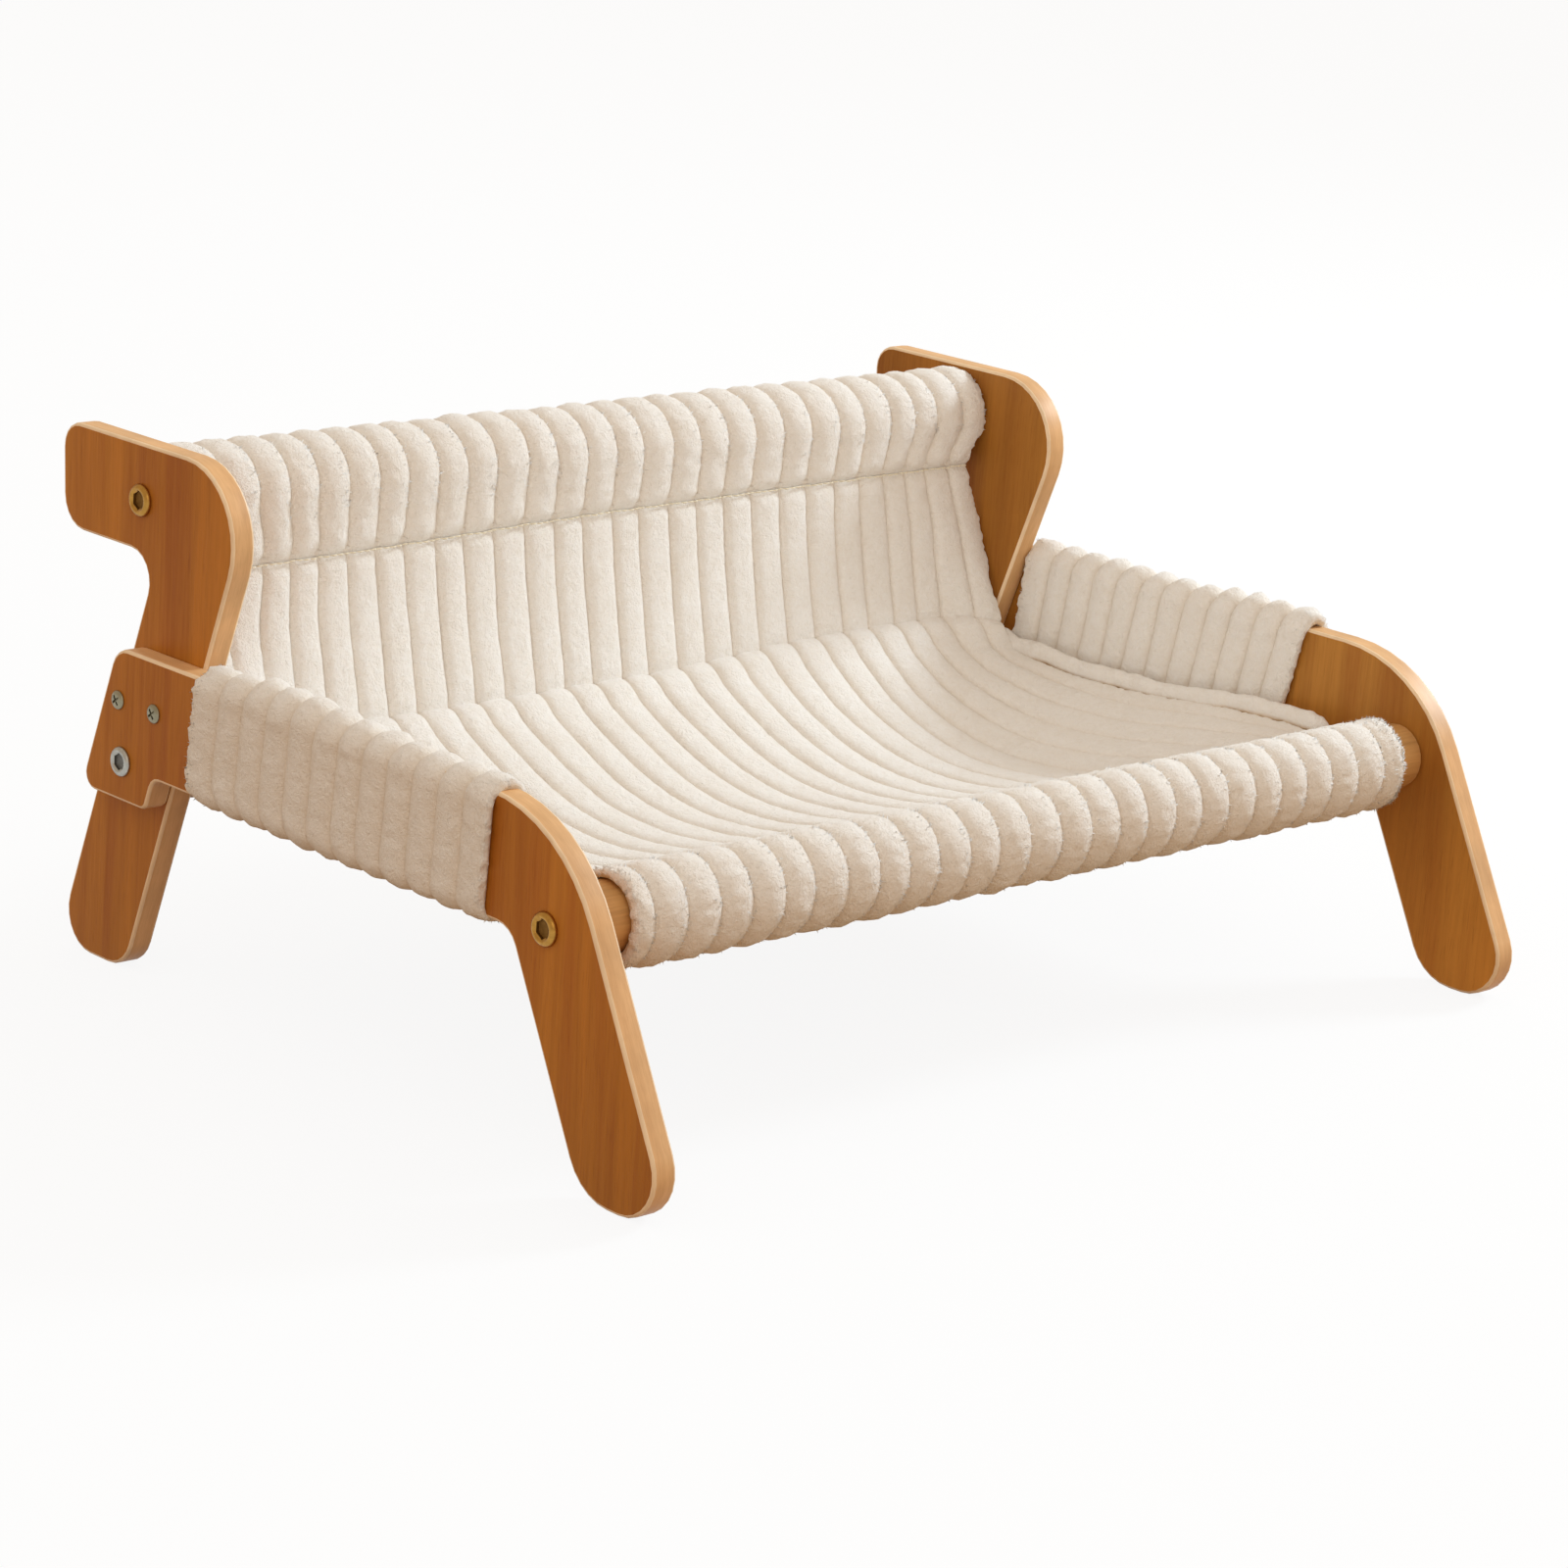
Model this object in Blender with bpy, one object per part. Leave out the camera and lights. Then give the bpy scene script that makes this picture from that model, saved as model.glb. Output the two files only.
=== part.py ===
"""Low lounge chair for a cat: a ribbed plush sling on a bolted plywood and dowel frame.

Two boards stand on each side. The outer one is the front leg, the arm bar and the
rear plate in one. The inner one is the headed upright that runs down into the rear
leg. Three dowels join the sides, each drawn up by a bolt and a barrel nut at both
ends. The sewn cover hangs from the dowels in pockets and is sleeved over the arm bars.

Units are metres. X runs across the chair, Y from front to back and Z up. Lengths along
Y are first measured from the axis of the front rail, and the whole chair is then moved
so that the origin lies on the floor under its middle.
"""
import itertools
import math

import bmesh
import bpy
from mathutils import Vector

# Overall
WIDTH = 0.600
BOARD = 0.013
FIT = 0.0003
EDGE_EASE = 0.0015
CHORD_ERROR = 0.0002

# Rail axes as (y, z) and the dowel
FRONT_AXIS = Vector((0.0, 0.115))
BACK_AXIS = Vector((0.3187, 0.112))
TOP_AXIS = Vector((0.3276, 0.2388))
DOWEL_RADIUS = 0.017
DOWEL_CHAMFER = 0.001

# Outer board: front leg, arm bar and rear plate
ARM_TOP = 0.168
ARM_DEPTH = 0.059
FRONT_RAKE = math.radians(27.5)
FRONT_LEG_WIDTH = 0.055
FRONT_LEG_AHEAD = 0.0305
SHOULDER_RADIUS = 0.082
CROTCH_RADIUS = 0.014
FRONT_TOE_RADIUS = 0.022
FRONT_HEEL_RADIUS = 0.030
PLATE_WIDTH = 0.0505
PLATE_DROP = 0.017
PLATE_TOP_RADIUS = 0.013
PLATE_FOOT_RADIUS = 0.008
PLATE_FRONT_RADIUS = 0.005
PLATE_THROAT_RADIUS = 0.007

# Inner board: head, neck and rear leg
REAR_RAKE = math.radians(19.0)
REAR_LEG_WIDTH = 0.055
REAR_LEG_BEHIND = 0.0288
HEAD_ABOVE = 0.0277
HEAD_BELOW = 0.0252
HEAD_REACH = 0.0674
HEAD_END_LEAN = 0.003
BROW_RADIUS = 0.039
HEAD_TOP_RADIUS = 0.013
HEAD_LOW_RADIUS = 0.017
THROAT_RADIUS = 0.015
REAR_TOE_RADIUS = 0.020
REAR_HEEL_RADIUS = 0.020

# Bolts, barrel nuts and plate screws
SHANK_RADIUS = 0.003
BOLT_HEAD_RADIUS = 0.0075
BOLT_HEAD_RIM = 0.0012
BOLT_HEAD_HEIGHT = 0.0038
SOCKET_RADIUS = 0.0023
SOCKET_DEPTH = 0.0022
BOLT_PAST_NUT = 0.009
NUT_INSET = 0.030
NUT_RADIUS = 0.005
NUT_LENGTH = 0.016
BORE_SPARE = 0.004
SCREW_RADIUS = 0.002
SCREW_HEAD_RADIUS = 0.0048
SCREW_HEAD_RIM = 0.0008
SCREW_HEAD_HEIGHT = 0.0026
SCREW_BITE = 0.009
SCREW_POINT = 0.003
SCREW_SLOT = 0.0011
SCREW_SLOT_DEPTH = 0.0013
SCREW_SLOT_REACH = 0.55
SCREW_RISE = 0.030
SCREW_SPREAD = 0.0295
SCREW_SHIFT = -0.0106

# Plush cover
SEAT_RIBS = 27
BACK_RIBS = 28
RIB_HEIGHT = 0.003
RIB_SHOULDER = 0.3
BACKING = 0.0025
POCKET_WALL = 0.0055
BACK_POCKET_WALL = 0.003
HOLLOW_REACH = 0.75
SEAM_GAP = 0.0004
SEAM_HALF = 0.0022
TOP_RAIL_BARE = 0.0011
FRONT_RAIL_BARE = 0.0190
TOP_SEAM = Vector((0.3068, 0.2075))
CREASE = Vector((0.2865, 0.1235))
CREASE_STITCH = Vector((0.2900, 0.1230))
CREASE_TUCK = 0.0006
FRONT_SEAM = Vector((0.0330, 0.1195))
SAG_LOW = Vector((0.170, 0.0825))
BACK_HOLLOW = 0.004
SEAT_RISE_FROM = 0.165
SEAT_ROWS = 9
BACK_ROWS = 3

# Hem cord between the seat and the arm sleeves, as (y, z) along the arm
HEM_RADIUS = 0.005
HEM_FACETS = 10
HEM_ROWS = 14
HEM_RUN = ((0.276, 0.1175), (0.234, 0.1125), (0.190, 0.1115), (0.150, 0.1140),
           (0.100, 0.1205), (0.060, 0.1220), (0.040, 0.1205))

# Arm sleeves, whose front ends start further back on the seat's side
SLEEVE_TO_UPRIGHT = 0.0214
SLEEVE_FRONT = 0.0515
SLEEVE_SKEW = 1.4
SLEEVE_RIB_PITCH = 0.0178
SLEEVE_LEAN = -0.15
SLEEVE_SIDE = 0.0040
SLEEVE_OVER = 0.0060
SLEEVE_UNDER = 0.0035
SLEEVE_RIB = 0.0025

# Derived places
HALF = WIDTH / 2
SIDES = {"left": -1, "right": 1}
ARM_UNDERSIDE = ARM_TOP - ARM_DEPTH
OUTER_INSIDE = HALF - BOARD
UPRIGHT_OUTSIDE = OUTER_INSIDE - FIT
UPRIGHT_INSIDE = UPRIGHT_OUTSIDE - BOARD
SLEEVE_INSIDE = OUTER_INSIDE - FIT - SLEEVE_SIDE - SLEEVE_RIB
HEM_X = SLEEVE_INSIDE - FIT - HEM_RADIUS
SEAT_HALF = HEM_X - HEM_RADIUS - FIT
TOP_COVER_HALF = UPRIGHT_INSIDE - TOP_RAIL_BARE
FRONT_COVER_HALF = OUTER_INSIDE - FRONT_RAIL_BARE
POCKET_RADIUS = DOWEL_RADIUS + POCKET_WALL
BACK_POCKET_RADIUS = DOWEL_RADIUS + BACK_POCKET_WALL


def clear_scene():
    """Remove whatever the scene holds."""
    for item in list(bpy.data.objects):
        bpy.data.objects.remove(item, do_unlink=True)


def finish(name, colour, roughness, metallic=0.0):
    """Make one plain surface finish."""
    made = bpy.data.materials.new(name)
    made.use_nodes = True
    shader = made.node_tree.nodes["Principled BSDF"]
    shader.inputs["Base Color"].default_value = (*colour, 1.0)
    shader.inputs["Roughness"].default_value = roughness
    shader.inputs["Metallic"].default_value = metallic
    return made


def new_object(name, bm, surface, smooth=True):
    """Turn a bmesh into an object whose faces point outwards."""
    bmesh.ops.recalc_face_normals(bm, faces=bm.faces)
    mesh = bpy.data.meshes.new(name)
    bm.to_mesh(mesh)
    bm.free()
    if surface:
        mesh.materials.append(surface)
    if smooth:
        mesh.shade_smooth()
        mesh.set_sharp_from_angle(angle=math.radians(35))
    made = bpy.data.objects.new(name, mesh)
    bpy.context.scene.collection.objects.link(made)
    return made


def cut(target, cutter):
    """Subtract a hidden cutter from a piece."""
    cutter.hide_render = True
    cutter.display_type = "WIRE"
    boolean = target.modifiers.new("cut", "BOOLEAN")
    boolean.operation = "DIFFERENCE"
    boolean.solver = "EXACT"
    boolean.object = cutter


def arc_steps(radius, sweep):
    """Number of straight steps that keep an arc within the chord error."""
    step = 2 * math.acos(1 - CHORD_ERROR / radius)
    return max(2, math.ceil(sweep / step))


def rounded_outline(corners):
    """Round each corner (y, z, radius) of a closed outline into an arc."""
    outline = []
    for index, (y, z, radius) in enumerate(corners):
        here = Vector((y, z))
        before = (Vector(corners[index - 1][:2]) - here).normalized()
        after = (Vector(corners[(index + 1) % len(corners)][:2]) - here).normalized()
        opening = before.angle(after)
        centre = here + (before + after).normalized() * radius / math.sin(opening / 2)
        start = here + before * radius / math.tan(opening / 2) - centre
        sweep = math.pi - opening
        turn = 1 if start.x * before.y - start.y * before.x < 0 else -1
        steps = arc_steps(radius, sweep)
        for step in range(steps + 1):
            angle = turn * sweep * step / steps
            cos, sin = math.cos(angle), math.sin(angle)
            outline.append(centre + Vector((start.x * cos - start.y * sin,
                                            start.x * sin + start.y * cos)))
    return outline


def along_rake(axis, offset, rake, z):
    """Y of a raked edge at height z, the edge lying offset from an axis."""
    return axis.x + offset / math.cos(rake) + (axis.y - z) * math.tan(rake)


def outer_outline():
    """Front leg, arm bar and rear plate, seen from the side."""
    ahead = -FRONT_LEG_AHEAD
    behind = FRONT_LEG_WIDTH - FRONT_LEG_AHEAD
    plate_foot = ARM_UNDERSIDE - PLATE_DROP
    half_plate = PLATE_WIDTH / 2

    def front(offset, z):
        return along_rake(FRONT_AXIS, offset, -FRONT_RAKE, z)

    def plate(offset, z):
        return along_rake(BACK_AXIS, offset, REAR_RAKE, z)

    return rounded_outline((
        (front(ahead, ARM_TOP), ARM_TOP, SHOULDER_RADIUS),
        (front(ahead, 0.0), 0.0, FRONT_TOE_RADIUS),
        (front(behind, 0.0), 0.0, FRONT_HEEL_RADIUS),
        (front(behind, ARM_UNDERSIDE), ARM_UNDERSIDE, CROTCH_RADIUS),
        (plate(-half_plate, ARM_UNDERSIDE), ARM_UNDERSIDE, PLATE_THROAT_RADIUS),
        (plate(-half_plate, plate_foot), plate_foot, PLATE_FRONT_RADIUS),
        (plate(half_plate, plate_foot), plate_foot, PLATE_FOOT_RADIUS),
        (plate(half_plate, ARM_TOP), ARM_TOP, PLATE_TOP_RADIUS)))


def inner_outline():
    """Head, neck and rear leg, seen from the side."""
    behind = REAR_LEG_BEHIND
    ahead = REAR_LEG_BEHIND - REAR_LEG_WIDTH
    crown = TOP_AXIS.y + HEAD_ABOVE
    chin = TOP_AXIS.y - HEAD_BELOW
    end = TOP_AXIS.x + HEAD_REACH

    def leg(offset, z):
        return along_rake(BACK_AXIS, offset, REAR_RAKE, z)

    return rounded_outline((
        (leg(ahead, crown), crown, BROW_RADIUS),
        (leg(ahead, 0.0), 0.0, REAR_TOE_RADIUS),
        (leg(behind, 0.0), 0.0, REAR_HEEL_RADIUS),
        (leg(behind, chin), chin, THROAT_RADIUS),
        (end - HEAD_END_LEAN, chin, HEAD_LOW_RADIUS),
        (end, crown, HEAD_TOP_RADIUS)))


def board(name, outline, inside, outside, surface):
    """Saw a board to an outline and ease its long edges."""
    bm = bmesh.new()
    face = bm.faces.new([bm.verts.new((inside, y, z)) for y, z in outline])
    grown = bmesh.ops.extrude_face_region(bm, geom=[face])["geom"]
    moved = [item for item in grown if isinstance(item, bmesh.types.BMVert)]
    bmesh.ops.translate(bm, verts=moved, vec=(outside - inside, 0, 0))
    made = new_object(name, bm, surface)
    ease = made.modifiers.new("eased edges", "BEVEL")
    ease.width = EDGE_EASE
    ease.segments = 2
    ease.limit_method = "ANGLE"
    ease.angle_limit = math.radians(50)
    return made


def turned(bm, profile, centre, side, segments):
    """Turn a profile of (x, radius) points about a line along X."""
    points = [bm.verts.new((side * x, centre.x + radius, centre.y)) for x, radius in profile]
    edges = [bm.edges.new(pair) for pair in zip(points, points[1:])]
    bmesh.ops.spin(bm, geom=points + edges, cent=(0, centre.x, centre.y), axis=(1, 0, 0),
                   angle=2 * math.pi, steps=segments, use_merge=True)


def weld(bm):
    """Merge the doubled points that a full turn leaves."""
    bmesh.ops.remove_doubles(bm, verts=bm.verts, dist=1e-6)


def plug(bm, centre, radius, start, end, side, segments=20):
    """Add a plain round plug along X, for a drilled hole."""
    turned(bm, ((start, 0), (start, radius), (end, radius), (end, 0)), centre, side, segments)


def cross_plug(bm, x, centre, radius, length, segments=16):
    """Add a plain round plug square to a rail and level with the floor."""
    ends = []
    for y in (centre.x - length / 2, centre.x + length / 2):
        ring = [bm.verts.new((x + radius * math.cos(turn), y, centre.y + radius * math.sin(turn)))
                for turn in (2 * math.pi * (step + 0.5) / segments for step in range(segments))]
        ends.append(ring)
        bm.faces.new(ring)
    for step in range(segments):
        following = (step + 1) % segments
        bm.faces.new((ends[0][step], ends[0][following], ends[1][following], ends[1][step]))


def screw_places():
    """Where the two plate screws go, one behind the other."""
    middle = BACK_AXIS + Vector((SCREW_SHIFT, SCREW_RISE))
    reach = Vector((SCREW_SPREAD / 2, 0.0))
    return {"front": middle - reach, "rear": middle + reach}


def make_boards(wood):
    """Both outer boards and both uprights, drilled for their fasteners."""
    margin = 0.002
    hole = SHANK_RADIUS + FIT
    screw_hole = SCREW_RADIUS + FIT
    pilot_end = UPRIGHT_OUTSIDE - SCREW_BITE - SCREW_POINT - 2 * FIT
    for name, side in SIDES.items():
        outer = board("side_panel_" + name, outer_outline(), side * OUTER_INSIDE, side * HALF, wood)
        drill = bmesh.new()
        for axis in (FRONT_AXIS, BACK_AXIS):
            plug(drill, axis, hole, OUTER_INSIDE - margin, HALF + margin, side)
        for place in screw_places().values():
            plug(drill, place, screw_hole, OUTER_INSIDE - margin, HALF + margin, side, 12)
        weld(drill)
        cut(outer, new_object("drill_outer_" + name, drill, None))
        upright = board("upright_" + name, inner_outline(), side * UPRIGHT_INSIDE,
                        side * UPRIGHT_OUTSIDE, wood)
        drill = bmesh.new()
        for axis in (TOP_AXIS, BACK_AXIS):
            plug(drill, axis, hole, UPRIGHT_INSIDE - margin, UPRIGHT_OUTSIDE + margin, side)
        for place in screw_places().values():
            plug(drill, place, screw_hole, pilot_end, UPRIGHT_OUTSIDE + margin, side, 12)
        weld(drill)
        cut(upright, new_object("drill_upright_" + name, drill, None))


def make_rail(name, axis, half, wood):
    """One dowel with a bolt bore and a barrel nut hole at each end."""
    half -= FIT
    bore = SHANK_RADIUS + FIT
    bore_end = half - NUT_INSET - BOLT_PAST_NUT - BORE_SPARE
    end = ((bore_end, 0), (bore_end, bore), (half, bore), (half, DOWEL_RADIUS - DOWEL_CHAMFER),
           (half - DOWEL_CHAMFER, DOWEL_RADIUS))
    bm = bmesh.new()
    turned(bm, [(-x, radius) for x, radius in end] + list(reversed(end)), axis, 1, 24)
    weld(bm)
    rail = new_object(name, bm, wood)
    nut_holes = bmesh.new()
    for side in SIDES.values():
        cross_plug(nut_holes, side * (half - NUT_INSET), axis, NUT_RADIUS + FIT,
                   2 * DOWEL_RADIUS + BORE_SPARE)
    cut(rail, new_object(name + "_nut_holes", nut_holes, None))


def dome(reach, radius, rim, height, steps=3):
    """Profile of a domed head from its rim to its crown, as (x, radius)."""
    points = []
    for step in range(steps + 1):
        turn = math.pi / 2 * step / steps
        points.append((reach + rim + (height - rim) * math.sin(turn), radius * math.cos(turn)))
    return points


def make_bolt(name, side, axis, face, rail_end, surface):
    """A domed socket bolt seated on a board face and reaching past its barrel nut."""
    seat = face + FIT
    tip = rail_end - FIT - NUT_INSET - BOLT_PAST_NUT
    chamfer = SHANK_RADIUS / 4
    profile = [(tip, 0), (tip, SHANK_RADIUS - chamfer), (tip + chamfer, SHANK_RADIUS),
               (seat, SHANK_RADIUS), (seat, BOLT_HEAD_RADIUS)]
    profile += dome(seat, BOLT_HEAD_RADIUS, BOLT_HEAD_RIM, BOLT_HEAD_HEIGHT)
    bm = bmesh.new()
    turned(bm, profile, axis, side, 16)
    weld(bm)
    bolt = new_object(name, bm, surface)
    key = bmesh.new()
    crown = seat + BOLT_HEAD_HEIGHT
    plug(key, axis, SOCKET_RADIUS, crown - SOCKET_DEPTH, crown + SOCKET_DEPTH, side, 6)
    weld(key)
    cut(bolt, new_object(name + "_key", key, None))


def make_nut(name, side, axis, rail_end, surface):
    """A barrel nut across a rail, bored for its bolt."""
    x = side * (rail_end - FIT - NUT_INSET)
    bm = bmesh.new()
    cross_plug(bm, x, axis, NUT_RADIUS, NUT_LENGTH)
    nut = new_object(name, bm, surface)
    bore = bmesh.new()
    plug(bore, axis, SHANK_RADIUS + FIT, abs(x) - 2 * NUT_RADIUS, abs(x) + 2 * NUT_RADIUS, side, 16)
    weld(bore)
    cut(nut, new_object(name + "_bore", bore, None))


def make_joint(rail, axis, face, rail_end, surface, nut_surface):
    """Bolt and barrel nut at both ends of one rail."""
    for name, side in SIDES.items():
        make_bolt(rail + "_bolt_" + name, side, axis, face, rail_end, surface)
        make_nut(rail + "_barrel_nut_" + name, side, axis, rail_end, nut_surface)


def make_plate_screws(surface):
    """The two cross-head screws that pin each rear plate to its upright."""
    seat = HALF + FIT
    shoulder = UPRIGHT_OUTSIDE - SCREW_BITE
    profile = [(shoulder - SCREW_POINT, 0), (shoulder, SCREW_RADIUS), (seat, SCREW_RADIUS),
               (seat, SCREW_HEAD_RADIUS)]
    profile += dome(seat, SCREW_HEAD_RADIUS, SCREW_HEAD_RIM, SCREW_HEAD_HEIGHT)
    arm = SCREW_HEAD_RADIUS * SCREW_SLOT_REACH
    crown = seat + SCREW_HEAD_HEIGHT
    for (name, side), (end, place) in itertools.product(SIDES.items(), screw_places().items()):
        bm = bmesh.new()
        turned(bm, profile, place, side, 12)
        weld(bm)
        screw = new_object("plate_screw_" + end + "_" + name, bm, surface)
        for slot, across, up in (("level", arm, SCREW_SLOT / 2), ("upright", SCREW_SLOT / 2, arm)):
            bm = bmesh.new()
            bmesh.ops.create_cube(bm, size=2.0)
            bmesh.ops.scale(bm, verts=bm.verts, vec=(SCREW_SLOT_DEPTH, across, up))
            bmesh.ops.translate(bm, verts=bm.verts, vec=(side * crown, place.x, place.y))
            cut(screw, new_object("_".join(("slot", slot, end, name)), bm, None))


def rib_columns(half, count):
    """Places across a ribbed panel, as (x, lift), with a groove at each rib's edge."""
    pitch = 2 * half / count
    columns = [(-half, 0.0)]
    for rib in range(count):
        left = -half + rib * pitch
        columns.append((left + pitch * RIB_SHOULDER, RIB_HEIGHT))
        columns.append((left + pitch * (1 - RIB_SHOULDER), RIB_HEIGHT))
        columns.append((left + pitch, 0.0))
    return columns


def skin(bm, rows, closed=False):
    """Join neighbouring rows of points with faces."""
    pairs = list(zip(rows, rows[1:]))
    if closed:
        pairs.append((rows[-1], rows[0]))
    for first, second in pairs:
        for index in range(len(first) - 1):
            bm.faces.new((first[index], first[index + 1], second[index + 1], second[index]))


def sewn_panel(name, place, rows, half, ribs, surface):
    """A ribbed sheet: place(row, x) gives a groove point (y, z) and its outward normal."""
    columns = rib_columns(half, ribs)
    bm = bmesh.new()
    top, under = [], []
    for row in rows:
        upper, lower = [], []
        for index, (x, lift) in enumerate(columns):
            point, normal = place(row, x)
            at = point + normal * lift
            upper.append(bm.verts.new((x, at.x, at.y)))
            if index % 3 == 0:
                at = point - normal * BACKING
                lower.append(bm.verts.new((x, at.x, at.y)))
        top.append(upper)
        under.append(lower)
    skin(bm, top)
    skin(bm, under)
    for upper, lower in ((top[0], under[0]), (top[-1], under[-1])):
        for rib in range(ribs):
            bm.faces.new(upper[3 * rib:3 * rib + 4] + [lower[rib + 1], lower[rib]])
    for edge in (0, -1):
        for row in range(len(rows) - 1):
            bm.faces.new((top[row][edge], top[row + 1][edge],
                          under[row + 1][edge], under[row][edge]))
    return new_object(name, bm, surface)


def teardrop(axis, radius, tip, steps):
    """Points and outward normals round a dowel, none nearer to it than the radius."""
    reach = tip - axis
    heading = math.atan2(reach.y, reach.x)
    spread = math.acos(radius / reach.length)
    turn = (2 * math.pi - 2 * spread) / steps
    ring = []
    for step in range(steps + 1):
        angle = heading + spread + turn * step
        normal = Vector((math.cos(angle), math.sin(angle)))
        ring.append((axis + normal * radius / math.cos(turn / 2), normal))
    return ring


def pocket(name, axis, radius, tip, half, ribs, surface, steps=8):
    """A sewn pocket drawn round a dowel and closed at its seam, ribbed where it has ribs."""
    columns = rib_columns(half, ribs) if ribs else [(-half, 0.0), (half, 0.0)]
    across = Vector((axis.y - tip.y, tip.x - axis.x)).normalized()
    shape = teardrop(axis, radius, tip, steps)
    shape += [(tip - across * SEAM_HALF, -across), (tip + across * SEAM_HALF, across)]
    hollow_tip = axis + (tip - axis) * HOLLOW_REACH
    hollow = [point for point, _ in teardrop(axis, DOWEL_RADIUS + FIT, hollow_tip, steps)]
    bm = bmesh.new()
    outer = [[bm.verts.new((x, *(point + normal * lift))) for x, lift in columns]
             for point, normal in shape]
    inner = [[bm.verts.new((x, *point)) for x in (-half, half)]
             for point in hollow + [hollow_tip]]
    skin(bm, outer, closed=True)
    skin(bm, inner, closed=True)
    for edge in (0, -1):
        for index in range(steps):
            bm.faces.new((outer[index][edge], outer[index + 1][edge],
                          inner[index + 1][edge], inner[index][edge]))
        bm.faces.new([ring[edge] for ring in
                      outer[steps:] + outer[:1] + inner[:1] + list(reversed(inner[steps:]))])
    return new_object(name, bm, surface)


def smooth_step(value):
    """Ease from 0 to 1."""
    value = min(1.0, max(0.0, value))
    return value * value * (3 - 2 * value)


def hem_height(y):
    """Height of the hem cord's centre at y, eased between its named points."""
    run = sorted(HEM_RUN)
    if y <= run[0][0]:
        return run[0][1]
    for (y_low, z_low), (y_high, z_high) in zip(run, run[1:]):
        if y <= y_high:
            return z_low + (z_high - z_low) * smooth_step((y - y_low) / (y_high - y_low))
    return run[-1][1]


def sag_height(y, front, back):
    """Height of the hanging seat at y: a parabola on each side of its lowest point."""
    end = front if y < SAG_LOW.x else back
    share = (y - SAG_LOW.x) / (end.x - SAG_LOW.x)
    return SAG_LOW.y + (end.y - SAG_LOW.y) * share * share


def make_seat(plush):
    """The seat: sags between the front pocket and the crease and rises to its hems."""
    front = FRONT_SEAM + Vector((SEAM_GAP + SEAM_HALF / 2, 0))
    back = CREASE - Vector((SEAM_GAP + RIB_HEIGHT, 0))
    rows = [front.x + (back.x - front.x) * row / SEAT_ROWS for row in range(SEAT_ROWS + 1)]

    def height(y, x):
        low = sag_height(y, front, back)
        rise = smooth_step((abs(x) - SEAT_RISE_FROM) / (SEAT_HALF - SEAT_RISE_FROM))
        return low + (max(hem_height(y) - RIB_HEIGHT / 2, low) - low) * rise

    def place(y, x):
        step = 0.001
        slope = (height(y + step, x) - height(y - step, x)) / (2 * step)
        return Vector((y, height(y, x))), Vector((-slope, 1.0)).normalized()

    sewn_panel("seat_panel", place, rows, SEAT_HALF, SEAT_RIBS, plush)


def make_back(plush):
    """The backrest: a sheet from the top seam down to the crease, slightly hollow."""
    high = TOP_SEAM - Vector((0, SEAM_GAP + SEAM_HALF / 2))
    low = CREASE + Vector((CREASE_TUCK, SEAM_GAP + BACKING))
    run = low - high
    normal = Vector((run.y, -run.x)).normalized()
    rows = [row / BACK_ROWS for row in range(BACK_ROWS + 1)]

    def place(share, x):
        hollow = -4 * BACK_HOLLOW * share * (1 - share)
        return high + run * share + normal * hollow, normal

    made = sewn_panel("back_panel", place, rows, SEAT_HALF, BACK_RIBS, plush)
    for vert in made.data.vertices:
        share = (high.y - vert.co.z) / (high.y - low.y)
        vert.co.x *= (TOP_COVER_HALF + (SEAT_HALF - TOP_COVER_HALF) * share) / SEAT_HALF


def make_hems(plush):
    """The rolled hem cord along each side of the seat."""
    back, front = HEM_RUN[0][0], HEM_RUN[-1][0]
    turns = [2 * math.pi * step / HEM_FACETS for step in range(HEM_FACETS)]
    for name, side in SIDES.items():
        bm = bmesh.new()
        rings = []
        for row in range(HEM_ROWS + 1):
            y = back + (front - back) * row / HEM_ROWS
            rings.append([bm.verts.new((side * HEM_X + HEM_RADIUS * math.cos(turn), y,
                                        hem_height(y) + HEM_RADIUS * math.sin(turn)))
                          for turn in turns])
        skin(bm, [ring + ring[:1] for ring in rings])
        bm.faces.new(rings[0])
        bm.faces.new(rings[-1])
        new_object("seat_hem_" + name, bm, plush)


def sleeve_ring(grow, over, under, steps=4):
    """Round-topped ring about the arm bar, as (x from the bar's middle, z)."""
    half = BOARD / 2 + grow
    top = ARM_TOP + over - half
    low_radius = half * 0.7
    low = ARM_UNDERSIDE - under + low_radius
    ring = []
    for step in range(steps + 1):
        turn = math.pi * step / steps
        ring.append((half * math.cos(turn), top + half * math.sin(turn)))
    for centre, first in ((-half + low_radius, math.pi), (half - low_radius, 1.5 * math.pi)):
        for step in range(3):
            turn = first + math.pi / 2 * step / 2
            ring.append((centre + low_radius * math.cos(turn), low + low_radius * math.sin(turn)))
    return ring


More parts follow.
